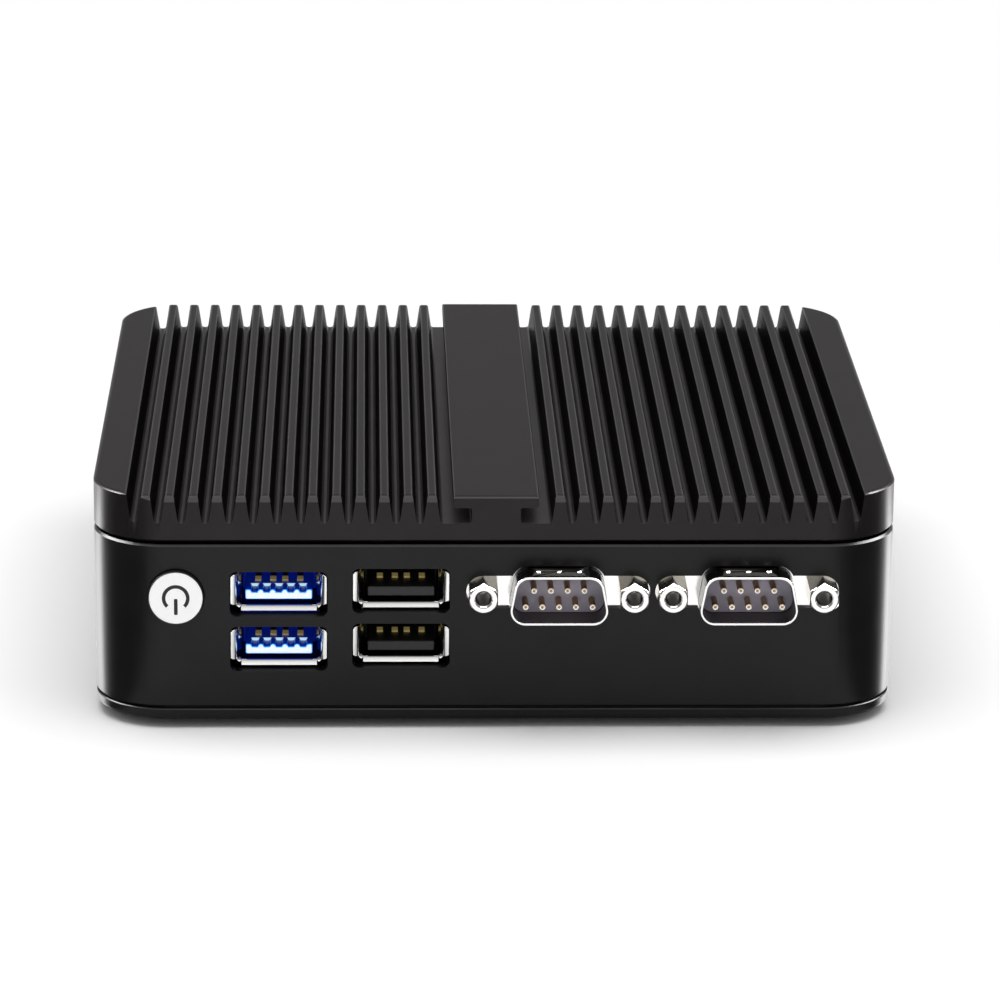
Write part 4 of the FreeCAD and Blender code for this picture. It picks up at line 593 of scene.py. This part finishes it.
def solder_mask():
    """Green lacquer with lighter copper tracks under it, on a square grid with cut-off corners."""
    made = coloured("solder_mask", (0.006, 0.05, 0.022), (0.008, 0.062, 0.028), 0.3, spread=0.05,
                    grains=2500.0, relief=0.08, coat=0.4)
    tree = made.node_tree
    shader = tree.nodes["Principled BSDF"]
    lacquer = shader.inputs["Base Color"].links[0].from_socket
    place = tree.nodes.new("ShaderNodeTexCoord")
    tracks = tree.nodes.new("ShaderNodeTexBrick")
    tracks.inputs["Scale"].default_value = tracks_per_metre
    tracks.inputs["Mortar Size"].default_value = track_width
    tracks.inputs["Color1"].default_value = (0, 0, 0, 1)
    tracks.inputs["Color2"].default_value = (0, 0, 0, 1)
    tracks.inputs["Mortar"].default_value = (1, 1, 1, 1)
    over = tree.nodes.new("ShaderNodeMix")
    over.data_type = "RGBA"
    over.inputs["B"].default_value = (0.02, 0.12, 0.05, 1)
    join_sockets(tree, (place.outputs["Object"], tracks.inputs["Vector"]),
                 (tracks.outputs["Color"], over.inputs["Factor"]), (lacquer, over.inputs["A"]),
                 (over.outputs["Result"], shader.inputs["Base Color"]))
    return made


painted(solder_mask(), "motherboard", "memory_module", "wifi_card")
chip_black = coloured("chip_black", (0.02, 0.02, 0.021), (0.03, 0.03, 0.03), 0.55, grains=5000.0,
                      relief=0.15)
gap_pad = coloured("gap_pad", (0.32, 0.34, 0.38), (0.36, 0.38, 0.42), 0.8, grains=1500.0,
                   relief=0.3)
socket_black = coloured("socket_black", (0.012, 0.012, 0.012), (0.018, 0.018, 0.018), 0.42,
                        grains=4000.0, relief=0.1)
cell_steel = coloured("cell_steel", (0.6, 0.6, 0.58), (0.66, 0.65, 0.62), 0.28, spread=0.15,
                      grains=4500.0, relief=0.08, metallic=1.0)
painted(chip_black, "cpu_package")
painted(gap_pad, "cpu_thermal_pad")
painted(socket_black, "memory_socket", "wifi_socket", "coin_cell_holder")
painted(cell_steel, "coin_cell")


# Drive and its lead
# A 2.5 inch drive in a brushed aluminium case, screwed to the bottom plate, and the flat black
# lead that plugs into it and into the board.

drive_case = coloured("drive_case", (0.33, 0.34, 0.35), (0.4, 0.4, 0.41), 0.4, spread=0.25,
                      grains=2500.0, relief=0.15, metallic=1.0)
lead_black = coloured("lead_black", (0.016, 0.016, 0.016), (0.022, 0.022, 0.022), 0.6,
                      grains=3000.0, relief=0.2)
painted(drive_case, "sata_drive")
painted(lead_black, "sata_lead")


# Power button
# A round moulded button: white lacquered face with a printed black power sign, upside down as the
# board hangs, in a black barrel that slides in the wall against the switch behind it.

face_low, face_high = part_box("power_button_face")
face_middle = (face_low + face_high) / 2
face_radius = (face_high.x - face_low.x) / 2
face_edge = 0.12 * mm
sign_centre = Vector((face_middle.x, face_low.y, face_middle.z))
sign_radius = 2.0 * mm
sign_width = 0.6 * mm
sign_gap_half = math.radians(45)
sign_bar_start = -0.1 * mm
sign_bar_end = -2.9 * mm
sign_bar_round = sign_width * 0.3
ink_depth = 0.02 * mm
barrel_edge = 0.06 * mm
facing_front = (math.radians(90), 0, 0)
white_lacquer = coloured("white_lacquer", (0.97, 0.97, 0.97), (0.99, 0.99, 0.985), 0.28,
                         spread=0.04, grains=3000.0, relief=0.03)
ink_black = coloured("ink_black", (0.004, 0.004, 0.004), (0.006, 0.006, 0.006), 0.45,
                     grains=3000.0, relief=0.05)
moulded_black = coloured("moulded_black", (0.01, 0.01, 0.01), (0.014, 0.014, 0.014), 0.36,
                         spread=0.08, grains=4000.0, relief=0.08)

deselect()
bpy.ops.mesh.primitive_cylinder_add(vertices=96, radius=face_radius,
                                    depth=face_high.y - face_low.y, location=face_middle,
                                    rotation=facing_front)
at_origin()
button_face = bpy.context.object
edges_broken(button_face, face_edge, steps=3, sharp=35)
flats_kept_flat(button_face)
button_face.data.materials.append(white_lacquer)
finished(button_face, "power_button_face_finished", "power_button", "white_face",
         "power_button_face")

deselect()
bpy.ops.mesh.primitive_circle_add(vertices=72, radius=sign_radius + sign_width / 2,
                                  location=sign_centre, rotation=facing_front)
at_origin()
power_sign = bpy.context.object
bpy.ops.object.mode_set(mode="EDIT")
select_where(power_sign, lambda place: abs(
    math.atan2(place.x - sign_centre.x, sign_centre.z - place.z)) < sign_gap_half)
bpy.ops.mesh.delete(type="VERT")
bpy.ops.mesh.select_all(action="SELECT")
bpy.ops.mesh.extrude_edges_move()
inner_share = (sign_radius - sign_width / 2) / (sign_radius + sign_width / 2)
bpy.ops.transform.resize(value=(inner_share, 1, inner_share), center_override=sign_centre)
bpy.ops.mesh.select_all(action="DESELECT")
bar_middle = sign_centre.z + (sign_bar_start + sign_bar_end) / 2
bpy.ops.mesh.primitive_plane_add(size=1, location=(sign_centre.x, sign_centre.y, bar_middle),
                                 rotation=facing_front)
bpy.ops.transform.resize(value=(sign_width, 1, sign_bar_start - sign_bar_end))
bpy.ops.mesh.bevel(affect="VERTICES", offset=sign_bar_round, segments=3)
bpy.ops.mesh.select_all(action="SELECT")
bpy.ops.mesh.normals_make_consistent(inside=False)
bpy.ops.object.mode_set(mode="OBJECT")
ink = power_sign.modifiers.new("ink", "SOLIDIFY")
ink.thickness = ink_depth
ink.offset = 0
bpy.ops.object.modifier_apply(modifier=ink.name)
power_sign.data.materials.append(ink_black)
finished(power_sign, "power_sign", "power_button", "black_insulator")

button_cap = eased_copy("power_button_cap", barrel_edge, moulded_black, moulded_black)
finished(button_cap, "power_button_cap_finished", "power_button", "black_insulator",
         "power_button_cap")
painted(moulded_black, "power_switch_plunger", "power_switch_body")


# Stacked USB ports
# Each pair is one folded steel can, nickel-plated, whose mouths end in spring lips that flare out
# to the edge of their windows. A moulded block inside carries two tongues with spring contacts.

usb_pitch = 9.55 * mm
usb_neck_start = 4.3 * mm
usb_metal = 0.3 * mm
usb_can_edge = 0.05 * mm
usb_lip_edge = 0.08 * mm
usb_moulding_edge = 0.22 * mm
usb_contact_above_centre = 0.75 * mm
usb_rim_depth = 0.4 * mm
usb_front_depth = 1.0 * mm
usb_notch_from = 3.0 * mm
usb_notch_to = 4.0 * mm
usb_notch_half_width = 5.2 * mm
lit_contact_length = 1.9 * mm
side_lip_root = 6.42 * mm
side_lip_foot = -1.95 * mm
side_lip_head = 3.5 * mm
side_lip_flare = 1.08 * mm
side_lip_bend = 1.6 * mm
side_lip_start = 1.45 * mm
side_lip_splay = 0.5 * mm
side_lip_narrowing = (1, 1, 1, 0.99, 0.97, 0.95, 0.92)
floor_lip_root = -2.6 * mm
floor_lip_half_width = 6.3 * mm
floor_lip_profile = ((0, 4.3), (0, 2.6), (0.06, 2.46), (0.16, 2.42), (0.95, 2.3))
corner_lip_x = 6.35 * mm
corner_lip_z = -2.3 * mm
corner_lip_half_width = 0.36 * mm
corner_lip_profile = ((0, 4.3), (0, 2.8), (0.1, 2.5), (0.35, 2.3), (0.75, 2.2))
wall_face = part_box("housing_frame")[0].y
diagonal = math.sqrt(0.5)
along_tube = 0.35
straight_ahead = 0.95
forwards = 0.3


def spring_lip(root, outward, across_turn, half_width, profile, narrowing=()):
    """Strip of sheet that runs out of the can along its wall and then flares outwards."""
    (start, start_depth), (end, end_depth) = profile[0], profile[1]
    out_x, out_z = outward
    deselect()
    bpy.ops.mesh.primitive_plane_add(
        size=1, location=(root[0] + out_x * start, wall_face + (start_depth + end_depth) / 2,
                          root[1] + out_z * start),
        rotation=(0, across_turn, 0))
    lip = bpy.context.object
    lip.scale = (2 * half_width, start_depth - end_depth, 1)
    at_origin()
    mouth = wall_face + end_depth
    bpy.ops.object.mode_set(mode="EDIT")
    select_where(lip, lambda place: place.y < mouth + hair)
    for step, (offset, depth) in enumerate(profile[2:]):
        bpy.ops.mesh.extrude_edges_move(TRANSFORM_OT_translate={
            "value": (out_x * (offset - end), depth - end_depth, out_z * (offset - end))})
        end, end_depth = offset, depth
        if step < len(narrowing):
            share = narrowing[step]
            bpy.ops.transform.resize(value=(1 if out_x else share, 1, share if out_x else 1),
                                     center_override=(root[0] + out_x * end, 0, root[1]))
    bpy.ops.object.mode_set(mode="OBJECT")
    metal = lip.modifiers.new("sheet_metal", "SOLIDIFY")
    metal.thickness = usb_metal
    metal.offset = 0
    bpy.ops.object.modifier_apply(modifier=metal.name)
    edges_broken(lip, usb_lip_edge, steps=2, sharp=60)
    flats_kept_flat(lip)
    return lip


def usb_levels(kind):
    """Heights of the upper and the lower port's centre, from the contacts on their tongues."""
    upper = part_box(f"{kind}_contacts")[1].z - usb_contact_above_centre
    return upper, upper - usb_pitch


def spring_lips(centre_x, centre_z):
    """Lips left, right and below, and the small bent corners between them."""
    flare = [(side_lip_splay + side_lip_flare * (1 - math.cos(math.radians(turn))),
              side_lip_start - side_lip_bend * math.sin(math.radians(turn)))
             for turn in range(15, 105, 15)]
    side_profile = [(0, usb_neck_start), (0, side_lip_start + side_lip_bend / 2),
                    (side_lip_splay, side_lip_start)] + flare
    side_middle = (side_lip_foot + side_lip_head) / 2
    side_half_width = (side_lip_head - side_lip_foot) / 2
    floor_profile = [(offset * mm, depth * mm) for offset, depth in floor_lip_profile]
    corner_profile = [(offset * mm, depth * mm) for offset, depth in corner_lip_profile]
    made = []
    for side in (-1, 1):
        made.append(spring_lip((centre_x + side * side_lip_root, centre_z + side_middle), (side, 0),
                               math.radians(90), side_half_width, side_profile,
                               side_lip_narrowing))
        made.append(spring_lip((centre_x + side * corner_lip_x, centre_z + corner_lip_z),
                               (side * diagonal, -diagonal), math.radians(-45 * side),
                               corner_lip_half_width, corner_profile))
    made.append(spring_lip((centre_x, centre_z + floor_lip_root), (0, -1), 0, floor_lip_half_width,
                           floor_profile))
    return made


def face_looks_inwards(face, centre_x, centre_z):
    """True for a face of a tube's inner side, when the tube runs front to back round a centre."""
    return (abs(face.normal.y) < along_tube and face.normal.x * (centre_x - face.center.x)
            + face.normal.z * (centre_z - face.center.z) > 0)


def painted_glow(material, colour, strength):
    """Adds a glow of a colour to a material: painted light, as the part is no lamp."""
    shader = material.node_tree.nodes["Principled BSDF"]
    shader.inputs["Emission Color"].default_value = (*colour, 1)
    shader.inputs["Emission Strength"].default_value = strength
    return material


def cut_across(piece, depth, keep_rear=False):
    """Cuts the active piece at a depth; the part in front of it goes if only the rear is kept."""
    bpy.ops.object.mode_set(mode="EDIT")
    bpy.ops.mesh.select_all(action="SELECT")
    bpy.ops.mesh.bisect(plane_co=(0, depth, 0), plane_no=(0, -1 if keep_rear else 1, 0),
                        clear_outer=keep_rear)
    bpy.ops.object.mode_set(mode="OBJECT")


def joined(pieces):
    """Joins pieces into the last of them."""
    make_active(pieces[-1])
    for piece in pieces:
        piece.select_set(True)
    bpy.ops.object.join()
    return pieces[-1]


def usb_shell(kind):
    """The can behind the wall, joined to the lips of its two mouths."""
    low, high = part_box(f"{kind}_shell")
    centre_x = (low.x + high.x) / 2
    levels = usb_levels(kind)
    can = eased_copy(f"{kind}_shell", usb_can_edge)
    cut_across(can, wall_face + usb_neck_start, keep_rear=True)
    lips = [lip for level in levels for lip in spring_lips(centre_x, level)]
    joined([*lips, can])
    can.data.materials.clear()
    can.data.materials.append(bright_nickel)
    # The inner walls of the can are painted near black, as shade inside the tubes.
    paint_faces(can, shell_inside_shade, lambda face: face_looks_inwards(
        face, centre_x, min(levels, key=lambda level: abs(level - face.center.z))))
    finished(can, f"{kind}_shell_finished", "case", "bright_shell", f"{kind}_shell")


def usb_insulator(kind, plastic, edge, front, slot):
    """Moulded block with two tongues, whose front faces and front edges take finishes of their own,
    painted highlights on the blue block, and whose notch walls glow with painted light.
    """
    low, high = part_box(f"{kind}_insulator")
    moulding = eased_copy(f"{kind}_insulator", usb_moulding_edge, plastic, edge, steps=3)
    # Only the bevels at the front keep the edge finish; the front faces and notch walls are then
    # painted as highlights.
    paint_faces(moulding, plastic, lambda face: face.material_index == 1
                and face.center.y > low.y + usb_rim_depth)
    paint_faces(moulding, front, lambda face: face.normal.y < -straight_ahead
                and face.center.y < low.y + usb_front_depth)
    paint_faces(moulding, notch_light, lambda face: face.normal.y < -forwards
                and low.y + usb_notch_from < face.center.y < low.y + usb_notch_to
                and abs(face.center.x - (low.x + high.x) / 2) < usb_notch_half_width)
    finished(moulding, f"{kind}_insulator_finished", "case", slot, f"{kind}_insulator")


def usb_contacts(kind):
    """Spring contacts painted as a glowing highlight near the mouth and painted dark as shade
    behind it.
    """
    springs = eased_copy(f"{kind}_contacts", 0, lit_gold_highlight)
    lit_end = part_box(f"{kind}_contacts")[0].y + lit_contact_length
    cut_across(springs, lit_end)
    paint_faces(springs, contact_shade, lambda face: face.center.y > lit_end)
    finished(springs, f"{kind}_contacts_finished", "case", "gold_contact", f"{kind}_contacts")


bright_nickel = coloured("bright_nickel", (0.95, 0.945, 0.93), (0.98, 0.975, 0.96), 0.12,
                         spread=0.06, grains=3000.0, relief=0.02, metallic=1.0)
# A near-black metal for the inner walls of the USB cans: painted shade.
shell_inside_shade = coloured("shell_inside_shade", (0.022, 0.022, 0.022), (0.03, 0.03, 0.03), 0.5, spread=0.1,
                        grains=3000.0, relief=0.1, metallic=1.0)
# The blue plastic glows a little: painted light.
usb_blue = painted_glow(coloured("usb_blue", (0.0, 0.05, 0.75), (0.0, 0.06, 0.85), 0.3, spread=0.08,
                        grains=2500.0, relief=0.06), (0.0, 0.02, 0.5), 0.12)
# Painted highlights that glow: the rims and front faces of the blue tongues, and the walls of the
# tongue notches.
blue_rim_highlight = painted_glow(coloured("blue_rim_highlight", (0.01, 0.35, 1.0), (0.02, 0.4, 1.0), 0.3, grains=2500.0,
                        relief=0.05), (0.0, 0.25, 1.0), 0.6)
pale_front_highlight = painted_glow(coloured("pale_front_highlight", (0.86, 0.9, 1.0), (0.9, 0.94, 1.0), 0.35, grains=2500.0,
                          relief=0.05), (0.7, 0.95, 1.0), 0.25)
dark_front = coloured("dark_front", (0.009, 0.009, 0.009), (0.013, 0.013, 0.013), 0.4,
                      grains=2500.0, relief=0.05)
notch_light = painted_glow(coloured("notch_light", (0.6, 0.88, 1.0), (0.7, 0.92, 1.0), 0.35, grains=2500.0,
                           relief=0.05), (0.6, 0.9, 1.0), 0.65)
contact_gold = coloured("contact_gold", (0.78, 0.58, 0.26), (0.84, 0.65, 0.34), 0.25, spread=0.1,
                        grains=4000.0, relief=0.05, metallic=1.0)
# Glowing gold for the front of the USB contacts, a painted highlight, and near black for their
# rear, painted shade.
lit_gold_highlight = painted_glow(coloured("lit_gold_highlight", (0.85, 0.66, 0.2), (0.95, 0.75, 0.26), 0.6, spread=0.1,
                         grains=4000.0, relief=0.05, metallic=0.1), (0.8, 0.62, 0.24), 0.12)
contact_shade = coloured("contact_shade", (0.012, 0.009, 0.004), (0.016, 0.012, 0.006), 0.6,
                         grains=4000.0, relief=0.05)

usb_shell("usb3")
usb_insulator("usb3", usb_blue, blue_rim_highlight, pale_front_highlight, "blue_insulator")
usb_contacts("usb3")
usb_shell("usb2")
usb_insulator("usb2", moulded_black, dark_front, dark_front, "black_insulator")
usb_contacts("usb2")


# Serial ports and the display port
# Nickel-plated steel shells drawn to a D, with dimples that grip the plug, hexagonal jackscrews
# on either side, and a moulded insulator with turned, gold-flashed pins or rows of holes.

dsub_height = 8.36 * mm
dsub_edge = 0.1 * mm
dsub_bright_rim = 0.45 * mm
dimple_radius = 0.55 * mm
dimple_depth = 0.34 * mm
dimple_setback = 3.0 * mm
dimple_pitch = 3.4 * mm
dimple_reach = dimple_radius * 1.05
jackscrew_half_spacing = 24.99 / 2 * mm
jackscrew_edge = 0.06 * mm
bore_reach = 1.25 * mm
pin_radius = 0.5 * mm
pin_pitch = 2.77 * mm
pin_round = 0.16 * mm
pin_rim = 0.1 * mm
pin_hollow = 0.12 * mm
pin_hollow_from = 0.1 * mm
pin_tip_length = 0.3 * mm
end_on = 0.8
flat_on = 0.9
turned_smooth = math.radians(35)
warm_nickel = coloured("warm_nickel", (0.8, 0.74, 0.62), (0.84, 0.79, 0.69), 0.16, spread=0.08,
                       grains=3000.0, relief=0.05, metallic=1.0)
# A dark metal for the walls of the D shells: painted shade.
shell_side_shade = coloured("shell_side_shade", (0.05, 0.045, 0.04), (0.08, 0.07, 0.06), 0.2, spread=0.1,
                      grains=3000.0, relief=0.05, metallic=1.0)
# A dark metal for the jackscrews' bores: painted shade.
bore_shade = coloured("bore_shade", (0.09, 0.08, 0.065), (0.13, 0.11, 0.09), 0.35, spread=0.2,
                       grains=4000.0, relief=0.3, metallic=1.0)
lilac_plastic = coloured("lilac_plastic", (0.55, 0.51, 0.62), (0.6, 0.55, 0.67), 0.5,
                         grains=2500.0, relief=0.08)
display_blue = coloured("display_blue", (0.006, 0.03, 0.35), (0.008, 0.04, 0.4), 0.38,
                        grains=2500.0, relief=0.06)
# A whitish glowing finish for the pin tips: a painted highlight.
pin_tip_highlight = painted_glow(coloured("pin_tip_highlight", (0.97, 0.93, 0.84), (1.0, 0.96, 0.88), 0.25, grains=4000.0,
                       relief=0.03, metallic=0.5), (1.0, 0.95, 0.85), 0.2)
pin_shank = coloured("pin_shank", (0.34, 0.2, 0.085), (0.4, 0.25, 0.11), 0.35, spread=0.1,
                     grains=4000.0, relief=0.05, metallic=1.0)


def dented(piece, places):
    """Presses a round dimple into a wall at each place."""
    for place in places:
        deselect()
        bpy.ops.mesh.primitive_uv_sphere_add(segments=20, ring_count=12, radius=dimple_radius,
                                             location=place)
        ball = bpy.context.object
        dent = piece.modifiers.new("dimple", "BOOLEAN")
        dent.operation = "DIFFERENCE"
        dent.object = ball
        bpy.context.view_layer.objects.active = piece
        bpy.ops.object.modifier_apply(modifier=dent.name)
        bpy.data.objects.remove(ball, do_unlink=True)


def dsub_shell(port):
    """Shell with its flange, dented three times above and twice below, with its walls painted dark
    as shade, leaving the rim and the dimples bright.
    """
    shell = eased_copy(f"{port}_shell", dsub_edge, steps=3)
    low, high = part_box(f"{port}_shell")
    rim, to_mouth = (high.y, 1) if port == "vga" else (low.y, -1)
    centre = (low + high) / 2
    centre.y = rim - to_mouth * dimple_setback
    wall_to_ball = dsub_height / 2 + dimple_radius - dimple_depth
    dimples = [centre + Vector((step * dimple_pitch, 0, side * wall_to_ball))
               for side, steps in ((1, (-1, 0, 1)), (-1, (-1, 1))) for step in steps]
    dented(shell, dimples)
    make_active(shell)
    bpy.ops.object.shade_smooth_by_angle(angle=turned_smooth)
    shell.data.materials.clear()
    shell.data.materials.append(bright_nickel)
    # Paints the inner walls and the outer sides dark as shade, all but the rim and the dimples.
    paint_faces(shell, shell_side_shade, lambda face: face_looks_inwards(face, centre.x, centre.z)
                or abs(face.normal.y) < end_on and abs(face.center.y - rim) > dsub_bright_rim
                and all((face.center - dimple).length > dimple_reach for dimple in dimples))
    finished(shell, f"{port}_shell_finished", "case", "bright_shell", f"{port}_shell")


def dsub_jackscrews(port):
    """Two hexagonal screws whose end faces take the brighter nickel, a painted highlight, and whose
    threaded bore is painted dark as shade.
    """
    low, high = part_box(f"{port}_jackscrews")
    middle = (low + high) / 2
    screws = eased_copy(f"{port}_jackscrews", jackscrew_edge, warm_nickel, warm_nickel, steps=1,
                        smooth=20)
    # The end faces get the brighter nickel as a painted highlight; the bore then gets a dark metal
    # as painted shade.
    paint_faces(screws, bright_nickel, lambda face: abs(face.normal.y) > steep)
    paint_faces(screws, bore_shade, lambda face: abs(face.normal.y) < end_on and math.hypot(
        abs(face.center.x - middle.x) - jackscrew_half_spacing,
        face.center.z - middle.z) < bore_reach)
    finished(screws, f"{port}_jackscrews_finished", "case", "warm_nickel", f"{port}_jackscrews")


def turned_pins(port):
    """Nine pins with rounded, slightly hollow tips, at the places of the solid's pins."""
    low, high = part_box(f"{port}_pins")
    middle = (low + high) / 2
    pins = []
    for count, height in ((5, low.z + pin_radius), (4, high.z - pin_radius)):
        for number in range(count):
            x = middle.x + (number - (count - 1) / 2) * pin_pitch
            deselect()
            bpy.ops.mesh.primitive_cylinder_add(
                vertices=20, radius=pin_radius, depth=high.y - low.y,
                location=(x, middle.y, height), rotation=facing_front)
            at_origin()
            pin = bpy.context.object
            bpy.ops.object.mode_set(mode="EDIT")
            select_where(pin, lambda place: place.y < low.y + hair)
            bpy.ops.mesh.bevel(offset=pin_round, segments=3)
            select_where(pin, lambda place: place.y < low.y + hair / 10)
            bpy.ops.mesh.inset(thickness=pin_rim)
            bpy.ops.transform.translate(value=(0, pin_hollow, 0))
            bpy.ops.object.mode_set(mode="OBJECT")
            bpy.ops.object.shade_smooth_by_angle(angle=turned_smooth)
            pins.append(pin)
    row = joined(pins)
    row.data.materials.append(pin_shank)
    # The tips are painted whiter with a glow, as a highlight; the hollow keeps the shank colour.
    paint_faces(row, pin_tip_highlight, lambda face: face.center.y < low.y + pin_tip_length
                and not (face.normal.y < -flat_on and face.center.y > low.y + pin_hollow_from))
    finished(row, f"{port}_pins_finished", "case", "gold_contact", f"{port}_pins")


for port in ("com1", "com2", "vga"):
    dsub_shell(port)
    dsub_jackscrews(port)
painted(lilac_plastic, "com1_insulator", "com2_insulator")
painted(display_blue, "vga_insulator")
turned_pins("com1")
turned_pins("com2")


# Rear ports
# A flat display port, two shielded network jacks, the power inlet, the audio jack and the
# gold-flashed antenna jacks with their nuts.

socket_edge = 0.06 * mm
wire_count = 8
wire_pitch = 1.016 * mm
wire_radius = 0.22 * mm
wire_roof = 3.9 * mm
wire_setback = 2.0 * mm
wire_smooth = math.radians(40)
wire_bends = ((0, -1.0, -0.3), (0, -6.2, -3.2), (0, -1.4, -0.2), (0, -0.6, 0.5))


def jack_contacts(port):
    """Eight sprung wires that slope from the roof of a network jack down to the plug."""
    low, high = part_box(f"{port}_insulator")
    wires = []
    for number in range(wire_count):
        deselect()
        x = (low.x + high.x) / 2 + (number - (wire_count - 1) / 2) * wire_pitch
        bpy.ops.mesh.primitive_circle_add(
            vertices=12, radius=wire_radius, fill_type="NGON", rotation=facing_front,
            location=(x, high.y - wire_setback, high.z - wire_roof - wire_radius))
        at_origin()
        bpy.ops.object.mode_set(mode="EDIT")
        bpy.ops.mesh.select_all(action="SELECT")
        for bend in wire_bends:
            bpy.ops.mesh.extrude_region_move(
                TRANSFORM_OT_translate={"value": [step * mm for step in bend]})
        bpy.ops.mesh.select_all(action="SELECT")
        bpy.ops.mesh.normals_make_consistent(inside=False)
        bpy.ops.object.mode_set(mode="OBJECT")
        bpy.ops.object.shade_smooth_by_angle(angle=wire_smooth)
        wires.append(bpy.context.object)
    row = joined(wires)
    row.data.materials.append(contact_gold)
    finished(row, f"{port}_contacts", "case", "gold_contact")


for node in ("hdmi_shell", "lan1_shell", "lan2_shell"):
    can = eased_copy(node, socket_edge, bright_nickel, bright_nickel)
    finished(can, f"{node}_finished", "case", "bright_shell", node)
jack_contacts("lan1")
jack_contacts("lan2")
painted(moulded_black, "hdmi_insulator", "lan1_insulator", "lan2_insulator", "dc_jack_body",
        "audio_jack")
painted(bright_nickel, "dc_jack_pin")
painted(contact_gold, "antenna_jack_left", "antenna_jack_right", "antenna_nuts")


# Antenna leads
# Thin coaxial leads in a black jacket, from the tail of each antenna jack to the wireless card
# under the main board. The right one runs along the back wall, under the rear ports.

lead_radius = 0.55 * mm
lead_routes = {
    "left": ((-49, 56, 8.8), (-49, 46, 8.8), (-36, 40, 19.79), (-31.5, 41, 23.79),
             (-28, 41, 23.79)),
    "right": ((49, 56, 8.8), (49, 46, 8.8), (38, 38.5, 11.5), (10, 38.5, 18), (-8, 40, 19.79),
              (-12.5, 41, 23.79), (-16, 41, 23.79)),
}
for side, route in lead_routes.items():
    line = bpy.data.curves.new(f"antenna_lead_{side}_finished", "CURVE")
    line.dimensions = "3D"
    line.bevel_depth = lead_radius
    line.bevel_resolution = 4
    line.resolution_u = 16
    line.use_fill_caps = True
    spline = line.splines.new("NURBS")
    spline.points.add(len(route) - 1)
    for point, (x, y, z) in zip(spline.points, route):
        point.co = (x * mm, y * mm, z * mm, 1)
    spline.order_u = 3
    spline.use_endpoint_u = True
    lead = bpy.data.objects.new(line.name, line)
    bpy.context.scene.collection.objects.link(lead)
    line.materials.append(lead_black)
    finished(lead, line.name, "case", "lead_black", f"antenna_lead_{side}")


deselect()
